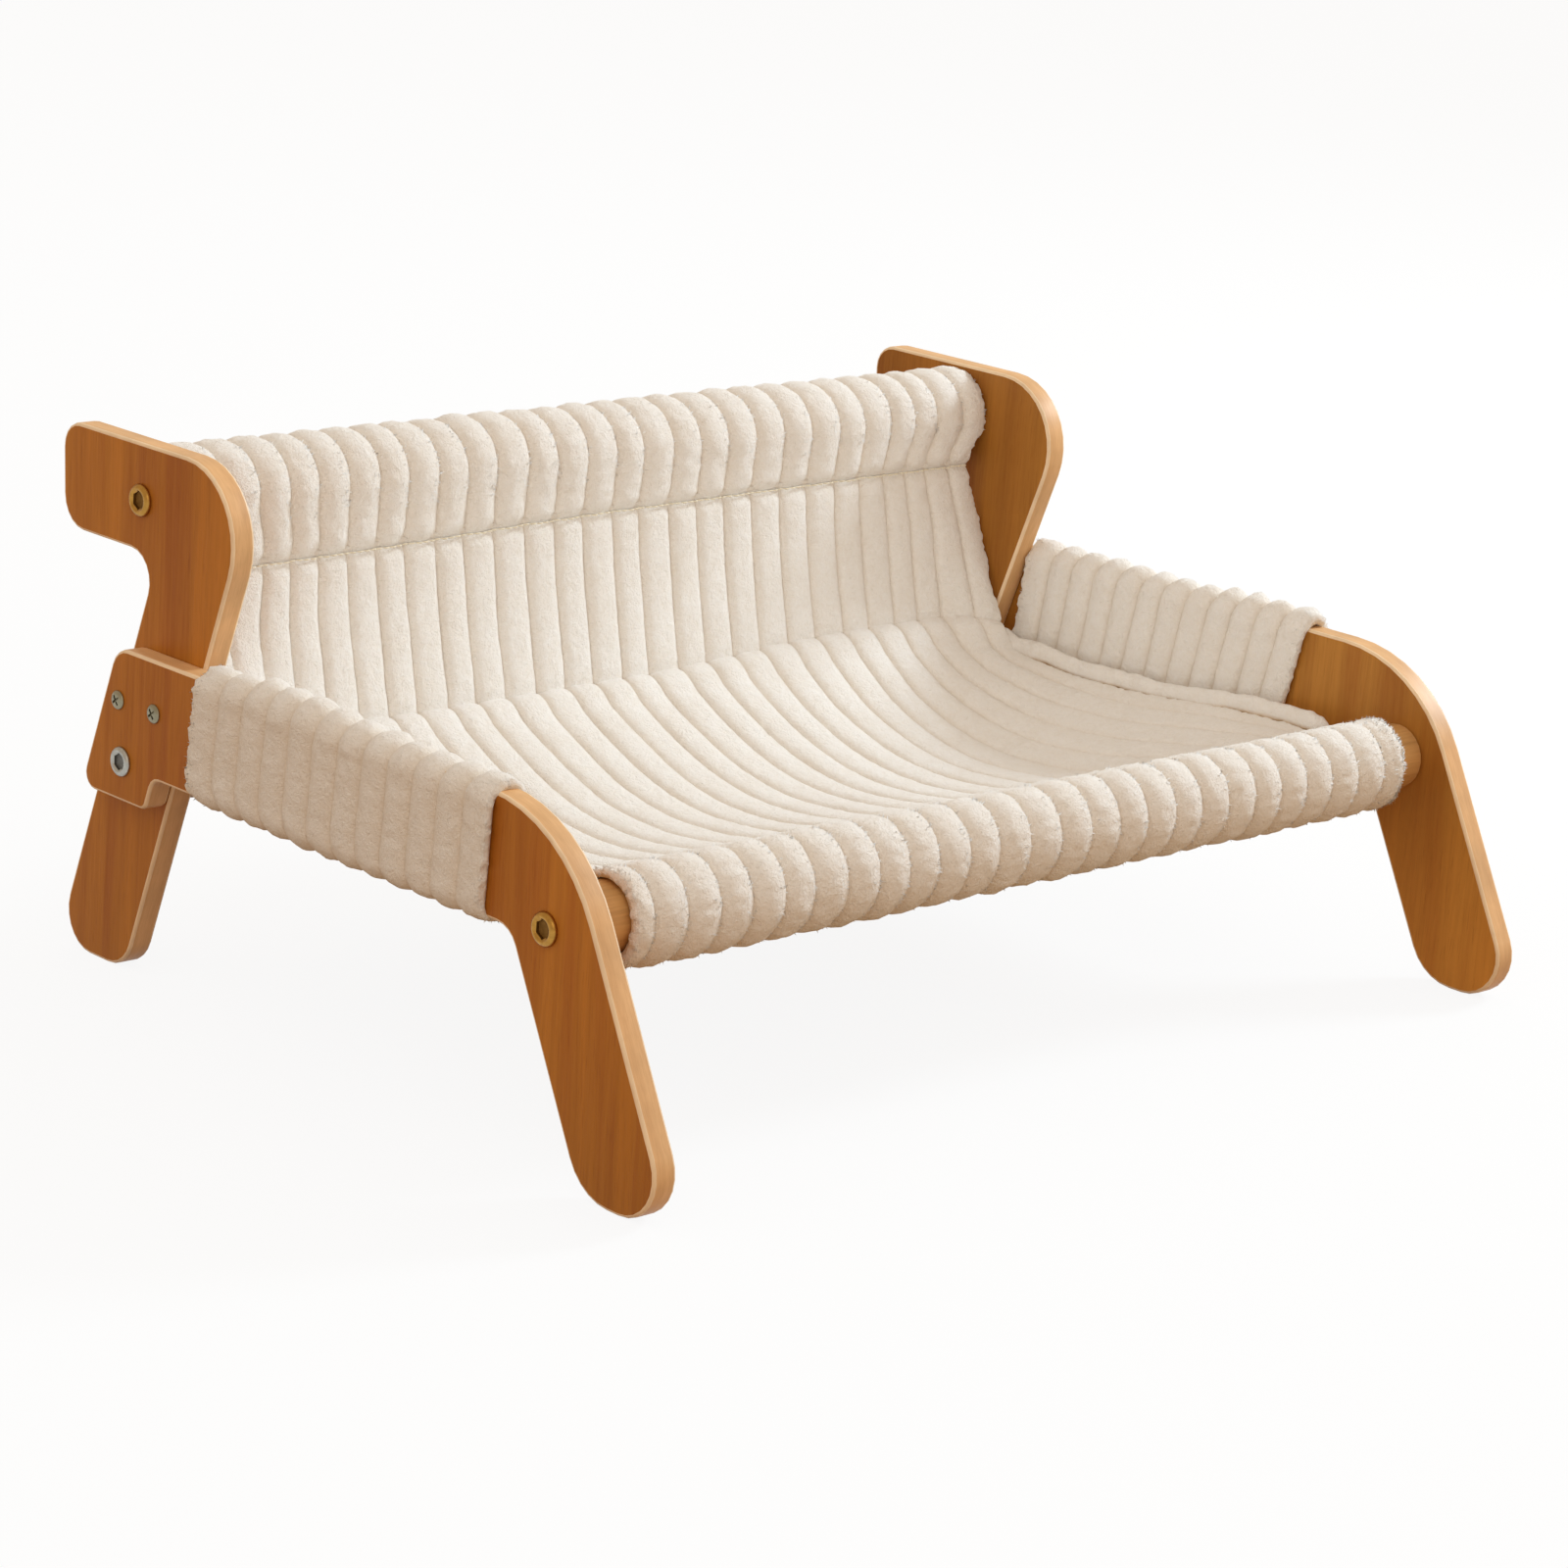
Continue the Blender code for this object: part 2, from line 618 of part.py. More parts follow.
def make_sleeves(plush):
    """The ribbed sleeve over each arm bar."""
    middle = (ARM_TOP + ARM_UNDERSIDE) / 2
    upright_front = along_rake(BACK_AXIS, REAR_LEG_BEHIND - REAR_LEG_WIDTH, REAR_RAKE, middle)
    rear = upright_front - SLEEVE_TO_UPRIGHT
    steps = 2 * round((rear - SLEEVE_FRONT) / SLEEVE_RIB_PITCH)
    for name, side in SIDES.items():
        bar = side * (HALF - BOARD / 2)
        bm = bmesh.new()
        rings = []
        for step in range(steps + 1):
            lift = SLEEVE_RIB if step % 2 else 0.0
            ring = []
            for out, z in sleeve_ring(SLEEVE_SIDE + FIT + lift, SLEEVE_OVER + lift,
                                      SLEEVE_UNDER + lift):
                front = SLEEVE_FRONT - SLEEVE_SKEW * out
                y = front + (rear - front) * step / steps + SLEEVE_LEAN * (z - middle)
                ring.append(bm.verts.new((bar + side * out, y, z)))
            rings.append(ring)
        skin(bm, [ring + ring[:1] for ring in rings])
        bm.faces.new(rings[0])
        bm.faces.new(rings[-1])
        sleeve = new_object("arm_sleeve_" + name, bm, plush)
        bm = bmesh.new()
        bmesh.ops.create_cube(bm, size=1.0)
        bmesh.ops.scale(bm, verts=bm.verts, vec=(BOARD + 2 * FIT, 2 * rear,
                                                 ARM_DEPTH + 2 * FIT))
        bmesh.ops.translate(bm, verts=bm.verts, vec=(bar, rear / 2, middle))
        cut(sleeve, new_object("sleeve_bore_" + name, bm, None))


def make_cover(plush):
    """Every panel and pocket of the sewn cover."""
    pocket("top_pocket", TOP_AXIS, POCKET_RADIUS, TOP_SEAM, TOP_COVER_HALF, BACK_RIBS, plush)
    make_back(plush)
    pocket("back_pocket", BACK_AXIS, BACK_POCKET_RADIUS, CREASE_STITCH, SEAT_HALF, 0, plush, 14)
    make_seat(plush)
    pocket("front_pocket", FRONT_AXIS, POCKET_RADIUS, FRONT_SEAM, FRONT_COVER_HALF, SEAT_RIBS,
           plush)
    make_hems(plush)
    make_sleeves(plush)


def centre_on_floor():
    """Move the chair so that the origin lies on the floor under its middle."""
    front = min(point.x for point in outer_outline())
    back = max(point.x for point in inner_outline())
    for item in bpy.context.scene.objects:
        item.location.y -= (front + back) / 2


def main():
    """Build the chair."""
    clear_scene()
    wood = finish("oiled_plywood", (0.36, 0.16, 0.05), 0.45)
    dowel_wood = finish("oiled_dowel", (0.45, 0.21, 0.08), 0.5)
    brass = finish("brass_plate", (0.62, 0.40, 0.13), 0.28, 1.0)
    zinc = finish("zinc_plate", (0.62, 0.61, 0.58), 0.3, 1.0)
    plush = finish("cream_plush", (0.80, 0.72, 0.61), 0.95)
    make_boards(wood)
    make_rail("front_rail", FRONT_AXIS, OUTER_INSIDE, dowel_wood)
    make_rail("back_rail", BACK_AXIS, UPRIGHT_INSIDE, dowel_wood)
    make_rail("top_rail", TOP_AXIS, UPRIGHT_INSIDE, dowel_wood)
    make_joint("front", FRONT_AXIS, HALF, OUTER_INSIDE, brass, zinc)
    make_joint("back", BACK_AXIS, HALF, UPRIGHT_INSIDE, zinc, zinc)
    make_joint("top", TOP_AXIS, UPRIGHT_OUTSIDE, UPRIGHT_INSIDE, brass, zinc)
    make_plate_screws(zinc)
    make_cover(plush)
    centre_on_floor()


main()
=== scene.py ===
"""Low lounge chair for a cat, dressed: ribbed plush cover, oiled plywood and bolted dowels.

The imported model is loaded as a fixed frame. Each operator below makes one piece, or one
group of like pieces, in the place that the frame gives. X runs across the chair, Y from
front to back and Z up, in metres. The lines of the cover are measured in mm, in Y from
the front rail's axis and in Z from the floor, and world() turns them into metres.
"""
import itertools
import math

import bpy
import numpy as np
from bpy.props import FloatProperty, FloatVectorProperty, IntProperty, PointerProperty
from mathutils import Matrix, Vector

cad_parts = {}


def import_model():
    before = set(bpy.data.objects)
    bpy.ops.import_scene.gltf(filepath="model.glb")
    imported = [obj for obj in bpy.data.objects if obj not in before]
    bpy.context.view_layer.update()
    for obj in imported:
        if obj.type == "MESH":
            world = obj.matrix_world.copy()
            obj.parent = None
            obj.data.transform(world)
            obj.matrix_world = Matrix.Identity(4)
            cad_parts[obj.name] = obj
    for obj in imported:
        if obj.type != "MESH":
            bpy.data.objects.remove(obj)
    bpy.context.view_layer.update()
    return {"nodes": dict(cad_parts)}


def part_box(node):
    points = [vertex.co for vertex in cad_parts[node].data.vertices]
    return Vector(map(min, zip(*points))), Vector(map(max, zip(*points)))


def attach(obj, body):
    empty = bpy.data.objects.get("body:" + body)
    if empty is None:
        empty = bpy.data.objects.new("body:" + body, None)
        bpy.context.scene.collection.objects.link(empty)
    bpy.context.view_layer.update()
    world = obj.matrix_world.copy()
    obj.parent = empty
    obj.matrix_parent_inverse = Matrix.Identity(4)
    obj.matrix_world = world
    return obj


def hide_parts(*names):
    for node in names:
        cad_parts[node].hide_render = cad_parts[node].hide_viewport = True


bl_info = {
    "name": "Cat lounge chair",
    "version": (1, 0, 0),
    "blender": (4, 5, 0),
    "location": "3D View > Sidebar > Lounge",
    "description": "Dresses the bolted frame of a cat lounge chair in ribbed plush and oiled wood",
    "category": "Object",
}

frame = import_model()
NODES = frame["nodes"]

MM = 0.001
SIDES = {"left": -1, "right": 1}
WHITE = (1.0, 1.0, 1.0)


def middle(node):
    """Centre of a node's box."""
    low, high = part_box(node)
    return (low + high) / 2


RAIL_Y = middle("front_rail").y
OUTER_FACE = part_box("side_panel_right")[1].x
OUTER_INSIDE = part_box("side_panel_right")[0].x

# Rib boundaries across the cover, left to right, at the backrest and at the front rail
BACK_RIBS = (-272.6, -252.5, -233.0, -214.5, -196.5, -177.2, -158.4, -140.3, -120.3, -102.1,
             -82.4, -61.4, -41.6, -22.0, -1.7, 16.7, 38.3, 57.7, 77.6, 97.6, 118.5, 138.8,
             160.1, 180.0, 199.9, 218.2, 236.0, 256.2, 272.6)
FRONT_RIBS = (-266.5, -255.4, -236.2, -216.4, -196.6, -176.8, -157.9, -137.1, -117.0, -97.6,
              -77.4, -57.2, -37.2, -16.4, 5.5, 26.9, 47.3, 67.1, 87.1, 106.9, 126.8, 147.5,
              166.6, 187.0, 207.4, 227.8, 248.3, 261.4, 262.0)
RIBS = len(BACK_RIBS) - 1
SLEEVE_RIBS = 12
# Half the sleeve's thickness in X, and its top and bottom in Z, in mm
SLEEVE_HALF, SLEEVE_TOP, SLEEVE_LOW = 9.3, 170.6, 107.6
# The hem's lower edge and its middle, as (y, z) behind the front rail's axis
HEM_LOW = ((40, 119), (62, 120), (106, 118.5), (153, 113.4), (185, 111.4), (220, 110.6),
           (245, 111.8), (257, 111.6), (272, 113.4), (292, 120))
HEM_RUN = ((279, 120), (268, 116.5), (257, 114), (240, 114.2), (215, 111.8), (190, 112.6),
           (160, 113.6), (130, 116.3), (106, 119.4), (80, 121.6), (62, 122.0), (45, 121.6),
           (36, 120.5))

CAMERA_PLACE = (-1.5077, -1.5309, 0.6935)
MIDDLE_OF_CHAIR = (0, 0, 0.12)

# What like settings share
LENGTH = {"subtype": "DISTANCE", "unit": "LENGTH"}
ANGLE = {"subtype": "ANGLE", "unit": "ROTATION"}
COLOUR = {"min": 0.0, "max": 1.0, "subtype": "COLOR"}


class CoverSettings(bpy.types.PropertyGroup):
    """Sizes and colours of the plush cover"""

    rib_height: FloatProperty(
        name="Rib height", description="How far a rib stands over its groove",
        default=3.6 * MM, min=0.0, max=8.0 * MM, **LENGTH)
    backing: FloatProperty(
        name="Backing", description="Thickness of the cloth under a groove",
        default=2.6 * MM, min=0.5 * MM, max=6.0 * MM, **LENGTH)
    pile: FloatProperty(
        name="Pile clumps", description="How uneven the brushed pile lies",
        default=0.48 * MM, min=0.0, max=2.0 * MM, **LENGTH)
    rib_columns: IntProperty(
        name="Columns per rib", description="Rows of faces across one rib",
        default=10, min=4, max=14)
    crest_colour: FloatVectorProperty(
        name="Crest colour", description="Colour of the brushed pile on the ribs",
        default=(0.96, 0.949, 0.929), **COLOUR)
    # The groove colour is painted shade, darker and warmer where the grooves fall in shade
    groove_shade_colour: FloatVectorProperty(
        name="Groove colour", description="Colour of the sewn grooves between the ribs",
        default=(0.92, 0.85, 0.76), **COLOUR)
    backing_colour: FloatVectorProperty(
        name="Backing colour", description="Colour of the knitted back of the cloth",
        default=(0.88, 0.84, 0.77), **COLOUR)
    thread_colour: FloatVectorProperty(
        name="Thread colour", description="Colour of the seam threads",
        default=(0.98, 0.91, 0.73), **COLOUR)


class FrameSettings(bpy.types.PropertyGroup):
    """Sizes and colours of the wood and the fasteners"""

    face_colour: FloatVectorProperty(
        name="Face colour", description="Oiled face veneer of the boards",
        default=(0.51, 0.20, 0.0272), **COLOUR)
    streak_colour: FloatVectorProperty(
        name="Streak colour", description="Darker grain of the face veneer",
        default=(0.43, 0.145, 0.018), **COLOUR)
    edge_colour: FloatVectorProperty(
        name="Edge colour", description="Sanded edges of the boards",
        default=(0.80, 0.49, 0.235), **COLOUR)
    rail_colour: FloatVectorProperty(
        name="Rail colour", description="Oiled dowels",
        default=(0.65, 0.365, 0.135), **COLOUR)
    head_radius: FloatProperty(
        name="Bolt head radius", description="Half the width of a bolt's head",
        default=8.1 * MM, min=4.0 * MM, max=12.0 * MM, **LENGTH)
    head_height: FloatProperty(
        name="Bolt head height", description="How far a bolt's head stands out",
        default=3.0 * MM, min=1.0 * MM, max=8.0 * MM, **LENGTH)


class StageSettings(bpy.types.PropertyGroup):
    """Camera, floor and lamps"""

    focal_length: FloatProperty(
        name="Focal length", description="Camera's focal length on a 36 mm frame",
        default=100.85, min=20.0, max=300.0, subtype="DISTANCE_CAMERA", unit="CAMERA")
    heading: FloatProperty(
        name="Heading", description="Camera's turn to the right of the depth axis",
        default=math.radians(44.417), **ANGLE)
    dip: FloatProperty(
        name="Dip", description="How far the camera looks down",
        default=math.radians(15.463), **ANGLE)
    roll: FloatProperty(
        name="Roll", description="Camera's turn about its own line of sight",
        default=math.radians(4.227), **ANGLE)
    key_power: FloatProperty(
        name="Key power", description="Power of the large lamp on the right",
        default=79.0, min=0.0, unit="POWER")
    fill_power: FloatProperty(
        name="Fill power", description="Power of the soft lamp on the left",
        default=5.0, min=0.0, unit="POWER")
    room_light: FloatProperty(
        name="Room light", description="Strength of the even light all round",
        default=0.775, min=0.0, max=2.0)


# Plain helpers

def deselect():
    """Leave edit mode with nothing selected."""
    if bpy.context.object and bpy.context.object.mode != "OBJECT":
        bpy.ops.object.mode_set(mode="OBJECT")
    bpy.ops.object.select_all(action="DESELECT")


def only(piece):
    """Select one piece and make it active."""
    deselect()
    piece.select_set(True)
    bpy.context.view_layer.objects.active = piece


def named(name, *materials):
    """Name the active object and give it its materials."""
    piece = bpy.context.object
    piece.name = name
    piece.data.name = name
    piece.data.materials.clear()
    for material in materials:
        piece.data.materials.append(material)
    return piece


def apply(piece, kind, **settings):
    """Add one modifier to a piece and apply it."""
    only(piece)
    modifier = piece.modifiers.new(kind.lower(), kind)
    for key, value in settings.items():
        setattr(modifier, key, value)
    bpy.ops.object.modifier_apply(modifier=modifier.name)


def hold(piece, slot, *nodes):
    """Let a finished piece ride on the chair and stand for its nodes, which are hidden; slot is
    not used.
    """
    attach(piece, "root")
    if nodes:
        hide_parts(*nodes)
    return piece


def linked(name, data):
    """A new object for some data, put in the scene."""
    made = bpy.data.objects.new(name, data)
    bpy.context.scene.collection.objects.link(made)
    return made


def soften(piece, degrees):
    """Shade a piece smooth but for its edges sharper than an angle."""
    only(piece)
    bpy.ops.object.shade_smooth_by_angle(angle=math.radians(degrees))


def unit(vectors):
    """The same directions, each of length one."""
    size = np.linalg.norm(vectors, axis=-1, keepdims=True)
    return vectors / np.maximum(size, 1e-12)


def lattice_noise(points, cell, seed):
    """Smooth, repeatable noise from -1 to 1 at each point, with bumps about one cell wide."""
    scaled = np.asarray(points, float) / cell
    base = np.floor(scaled).astype(np.int64)
    part = scaled - base
    part = part * part * (3 - 2 * part)
    total = np.zeros(scaled.shape[:-1])
    for corner in itertools.product((0, 1), repeat=3):
        place = base + np.array(corner)
        mixed = (place[..., 0] * 73856093) ^ (place[..., 1] * 19349663)
        mixed ^= (place[..., 2] * 83492791) ^ (seed * 26544357)
        mixed = ((mixed ^ (mixed >> 13)) * 1274126177) & 0x7FFFFFFF
        mixed = ((mixed ^ (mixed >> 11)) * 912931) & 0xFFFFFF
        weight = np.ones(scaled.shape[:-1])
        for axis, bit in enumerate(corner):
            weight *= part[..., axis] if bit else 1 - part[..., axis]
        total += weight * (mixed / 0xFFFFFF * 2 - 1)
    return total


def ease(value):
    """Smooth step from 0 to 1."""
    value = np.clip(value, 0, 1)
    return value * value * (3 - 2 * value)


def smooth_line(points, steps=12):
    """Curve through points with even tangents, as an array of finer points."""
    points = np.asarray(points, float)
    padded = np.vstack((2 * points[0] - points[1], points, 2 * points[-1] - points[-2]))
    line = []
    for a, b, c, d in zip(padded, padded[1:], padded[2:], padded[3:]):
        for t in np.arange(steps) / steps:
            line.append(0.5 * (2 * b + (c - a) * t + (2 * a - 5 * b + 4 * c - d) * t * t
                               + (3 * b - a - 3 * c + d) * t ** 3))
    line.append(points[-1])
    return np.array(line)


def lengths(line):
    """Distance run along a line at each of its points."""
    return np.concatenate(([0], np.cumsum(np.linalg.norm(np.diff(line, axis=0), axis=1))))


def spaced(line, spacing):
    """The same line with points a given distance apart."""
    run = lengths(line)
    count = max(2, int(round(run[-1] / spacing)) + 1)
    places = np.linspace(0, run[-1], count)
    return np.column_stack([np.interp(places, run, line[:, i]) for i in range(line.shape[1])])


# Materials

class Finish:
    """One procedural material and short ways to add nodes to it.

    What a node gives is passed on as (node, output).
    """

    def __init__(self, name):
        self.material = bpy.data.materials.new(name)
        self.material.use_nodes = True
        self.tree = self.material.node_tree
        self.shader = self.tree.nodes["Principled BSDF"]

    def feed(self, target, sockets):
        """Set or link a node's inputs, by name or number."""
        for socket, value in sockets.items():
            if isinstance(socket, str):
                socket = socket.replace("_", " ")
            if isinstance(value, tuple) and hasattr(value[0], "outputs"):
                self.tree.links.new(value[0].outputs[value[1]], target.inputs[socket])
            else:
                target.inputs[socket].default_value = value

    def set(self, **sockets):
        """Set or link inputs of the surface shader."""
        self.feed(self.shader, sockets)

    def add(self, kind, **sockets):
        """Add a node and feed it."""
        made = self.tree.nodes.new("ShaderNode" + kind)
        self.feed(made, sockets)
        return made

    def place(self, scale=(1, 1, 1)):
        """Object coordinates stretched by a scale."""
        where = self.add("TexCoord")
        return self.add("Mapping", Vector=(where, "Object"), Scale=scale), "Vector"

    def noise(self, where, scale, detail=3.0, roughness=0.55, distortion=0.0):
        """A noise texture."""
        return self.add("TexNoise", Vector=where, Scale=scale, Detail=detail,
                        Roughness=roughness, Distortion=distortion), 0

    def wave(self, where, direction, scale, distortion, detail=2.0):
        """Soft even bands."""
        made = self.add("TexWave", Vector=where, Scale=scale, Distortion=distortion,
                        Detail=detail)
        made.bands_direction = direction
        return made, 1

    def ramp(self, value, *stops):
        """A colour ramp over a value; stops are (place, colour)."""
        made = self.add("ValToRGB", Fac=value)
        ramp = made.color_ramp
        while len(ramp.elements) < len(stops):
            ramp.elements.new(0.5)
        for element, (place, colour) in zip(ramp.elements, stops):
            element.position = place
            element.color = (*colour, 1.0)
        return made, 0

    def mix(self, factor, first, second, blend="MIX"):
        """Mix two colours."""
        made = self.tree.nodes.new("ShaderNodeMix")
        made.data_type = "RGBA"
        made.blend_type = blend
        first, second = (colour if hasattr(colour[0], "outputs") else (*colour, 1.0)
                         for colour in (first, second))
        self.feed(made, {0: factor, 6: first, 7: second})
        return made, 2

    def tinted(self, colour, *tints):
        """A colour multiplied by tints; each is (share, value, stop, stop)."""
        for share, value, *stops in tints:
            colour = self.mix(share, colour, self.ramp(value, *stops), "MULTIPLY")
        return colour

    def math(self, operation, first, second, clamp=False):
        """One sum on values."""
        made = self.tree.nodes.new("ShaderNodeMath")
        made.operation = operation
        made.use_clamp = clamp
        self.feed(made, {0: first, 1: second})
        return made, 0

    def bump(self, height, strength, distance, normal=None):
        """A bump that feeds the surface's normal, over an earlier one."""
        made = self.add("Bump", Height=height, Strength=strength, Distance=distance)
        if normal:
            self.feed(made, {"Normal": normal})
        return made, 0


def shaded(colour, factor):
    """A colour made darker or lighter; the factor may differ from red to blue."""
    factors = factor if isinstance(factor, tuple) else (factor,) * 3
    return tuple(min(1.0, part * own) for part, own in zip(colour, factors))


def plush_finish(name, crest, groove):
    """Brushed plush, clumped and mottled: paler on the ribs, and darker and warmer in the sewn
    grooves as painted shade.
    """
    cloth = Finish(name)
    where = cloth.place()
    # The crest attribute sets how much painted groove shade each point takes
    rib = cloth.add("Attribute")
    rib.attribute_name = "crest"
    painted_groove_shade_mix = cloth.math("POWER", (rib, "Fac"), 0.55, clamp=True)
    patches = cloth.noise(where, 55.0, 3.0, 0.55)
    clumps = cloth.noise(where, 210.0, 4.0, 0.6, 0.4)
    tufts = cloth.noise(where, 400.0, 2.0, 0.6, 0.3)
    fur = cloth.noise(where, 820.0, 3.0, 0.7, 0.6)
    base = cloth.tinted(cloth.mix(painted_groove_shade_mix, groove, crest),
                        (0.75, clumps, (0.30, (0.98, 0.97, 0.955)), (0.62, WHITE)),
                        (0.8, tufts, (0.34, (0.975, 0.963, 0.945)), (0.54, WHITE)),
                        (0.8, patches, (0.32, (0.975, 0.96, 0.94)), (0.66, WHITE)))
    cloth.set(Base_Color=base, Roughness=0.95, Specular_IOR_Level=0.12, Sheen_Weight=0.35,
              Sheen_Roughness=0.45, Sheen_Tint=(1.0, 0.97, 0.92, 1.0))
    soft = cloth.bump(tufts, 0.38, 0.0016, cloth.bump(clumps, 0.55, 0.0016))
    cloth.set(Normal=cloth.bump(fur, 0.9, 0.0009, soft))
    return cloth.material


def wisp_finish(colour):
    """Loose ends of pile."""
    cloth = Finish("loose_pile")
    tone = cloth.noise(cloth.place(), 160.0, 2.0)
    cloth.set(Base_Color=cloth.ramp(tone, (0.3, shaded(colour, 0.95)), (0.6, colour)),
              Roughness=0.95, Specular_IOR_Level=0.1, Sheen_Weight=0.3)
    return cloth.material


def backing_finish(colour):
    """The knitted back of the cloth: fine loops in rows."""
    cloth = Finish("knitted_backing")
    where = cloth.place()
    loops = cloth.math("MULTIPLY", cloth.wave(where, "X", 260.0, 1.2),
                       cloth.wave(where, "Z", 190.0, 1.6))
    base = cloth.ramp(cloth.noise(where, 70.0), (0.3, shaded(colour, 0.88)), (0.7, colour))
    base = cloth.tinted(base, (0.35, loops, (0.0, (0.78, 0.74, 0.68)), (0.6, WHITE)))
    cloth.set(Base_Color=base, Roughness=0.92, Specular_IOR_Level=0.15, Sheen_Weight=0.15,
              Normal=cloth.bump(loops, 0.4, 0.0004))
    return cloth.material


def thread_finish(colour):
    """Twisted sewing thread."""
    thread = Finish("seam_thread")
    twist = thread.wave(thread.place(), "DIAGONAL", 900.0, 0.6)
    thread.set(Base_Color=thread.mix(twist, shaded(colour, 0.82), colour), Roughness=0.6,
               Specular_IOR_Level=0.3, Normal=thread.bump(twist, 0.5, 0.0002))
    return thread.material


def board_finish(name, colour, streak, tone):
    """Oiled veneer with its grain along Z: broad soft streaks, fine pores and flecks.

    The tone is painted light and shade by height: tone[0] at the floor, tone[1] above the legs.
    """
    wood = Finish(name)
    warp = wood.noise(wood.place((1, 1, 0.35)), 9.0, 2.0)
    bent = wood.add("VectorMath")
    bent.operation = "MULTIPLY_ADD"
    wood.feed(bent, {0: (warp[0], "Color"), 1: (0.004, 0.016, 0.0),
                     2: wood.place((1.0, 1.0, 0.045))})
    bent = (bent, 0)
    wide = wood.noise(bent, 25.0, 2.0, 0.5, 0.3)
    broad = wood.noise(bent, 62.0, 4.0, 0.6, 0.3)
    fine = wood.noise(bent, 420.0, 3.0, 0.65)
    pores = wood.noise(bent, 1500.0, 2.0, 0.5)
    # Height over the floor, for the painted light and shade low down on the board
    height = wood.add("SeparateXYZ", Vector=wood.place())
    height = wood.math("MULTIPLY", (height, "Z"), 8.0, clamp=True)
    base = wood.ramp(broad, (0.33, streak), (0.50, colour), (0.68, shaded(colour, 1.15)))
    base = wood.tinted(base, (0.6, wide, (0.36, (0.82, 0.76, 0.70)), (0.58, WHITE)),
                       (0.45, fine, (0.30, (0.80, 0.76, 0.72)), (0.60, WHITE)),
                       (0.35, pores, (0.30, (0.62, 0.52, 0.44)), (0.42, WHITE)),
                       (1.0, height, (0.1, (tone[0],) * 3), (0.9, (tone[1],) * 3)))
    gloss = wood.ramp(fine, (0.2, (0.50,) * 3), (0.8, (0.40,) * 3))
    wood.set(Base_Color=base, Roughness=gloss, Specular_IOR_Level=0.15,
             Normal=wood.bump(pores, 0.18, 0.0003, wood.bump(fine, 0.12, 0.0004)))
    return wood.material


def ply_finish(name, colour, bands=True):
    """Sanded plywood edge: thin layers seen side on, across X."""
    wood = Finish(name)
    where = wood.place()
    fine = wood.noise(wood.place((4.0, 0.35, 0.35)), 320.0, 3.0, 0.6)
    mottle = wood.noise(where, 38.0, 3.0, 0.55)
    base = wood.ramp(mottle, (0.28, shaded(colour, 0.86)), (0.70, shaded(colour, 1.06)))
    if bands:
        layers = wood.wave(where, "X", 34.0, 0.35, 1.0)
        base = wood.tinted(base, (0.40, layers, (0.15, (0.86, 0.80, 0.74)), (0.75, WHITE)))
    base = wood.tinted(base, (0.6, fine, (0.30, (0.84, 0.79, 0.73)), (0.62, WHITE)))
    wood.set(Base_Color=base, Roughness=0.48, Specular_IOR_Level=0.35,
             Normal=wood.bump(fine, 0.15, 0.0003))
    return wood.material


def rail_finish(colour):
    """Oiled dowel with its grain along X and a few knots."""
    wood = Finish("oiled_dowel")
    where = wood.place((0.05, 1, 1))
    broad = wood.noise(where, 75.0, 4.0, 0.6, 0.5)
    fine = wood.noise(where, 650.0, 3.0, 0.6)
    knots = wood.add("TexVoronoi", Vector=wood.place((0.5, 1, 1)), Scale=16.0)
    base = wood.ramp(broad, (0.30, shaded(colour, 0.78)), (0.55, colour),
                     (0.75, shaded(colour, 1.15)))
    base = wood.tinted(base, (0.6, fine, (0.30, (0.78, 0.72, 0.66)), (0.60, WHITE)),
                       (0.8, (knots, 0), (0.05, (0.40, 0.28, 0.20)), (0.13, WHITE)))
    wood.set(Base_Color=base, Roughness=0.45, Specular_IOR_Level=0.35,
             Normal=wood.bump(fine, 0.15, 0.0004))
    return wood.material


def metal_finish(name, colour, roughness):
    """Plated metal with faint turning marks and rubbed patches."""
    metal = Finish(name)
    where = metal.place()
    rub = metal.noise(where, 420.0, 3.0, 0.6)
    marks = metal.noise(where, 2600.0, 2.0, 0.6)
    gloss = metal.ramp(rub, (0.25, (roughness + 0.14,) * 3), (0.7, (roughness,) * 3))
    metal.set(Base_Color=metal.ramp(rub, (0.3, shaded(colour, 0.80)), (0.65, colour)),
              Metallic=1.0, Roughness=gloss, Normal=metal.bump(marks, 0.10, 0.0002))
    return metal.material


FINISHES = {}


def finish(name):
    """A material by name, made on first use."""
    if name not in FINISHES:
        cover = bpy.context.scene.lounge_cover
        wood = bpy.context.scene.lounge_frame
        crest = cover.crest_colour[:]
        maker, *values = {
            "plush": (plush_finish, "corded_plush", crest, cover.groove_shade_colour[:]),
            # The hem's brown groove colour is part thread and part painted shade under the cord
            "hem": (plush_finish, "hem_plush", crest, (0.62, 0.42, 0.22)),
            "wisps": (wisp_finish, crest),
            "backing": (backing_finish, cover.backing_colour[:]),
            "thread": (thread_finish, cover.thread_colour[:]),
            "edge": (ply_finish, "board_edge", wood.edge_colour[:]),
            # A paler, yellower edge colour on the eased edges: a painted highlight
            "eased": (ply_finish, "board_eased_edge",
                      shaded(wood.edge_colour, (1.2, 1.5, 2.1)), False),
            "rail": (rail_finish, wood.rail_colour[:]),
            "brass": (metal_finish, "plated_brass", (0.47, 0.245, 0.052), 0.24),
            # Darker metal inside the sockets: painted shade
            "brass_socket": (metal_finish, "brass_socket", (0.24, 0.12, 0.028), 0.5),
            "zinc": (metal_finish, "bright_zinc", (0.44, 0.43, 0.385), 0.26),
            "zinc_socket": (metal_finish, "zinc_socket", (0.20, 0.19, 0.17), 0.5),
            "screw": (metal_finish, "passivated_zinc", (0.31, 0.28, 0.19), 0.28),
        }[name]
        FINISHES[name] = maker(*values)
    return FINISHES[name]


# Cloth

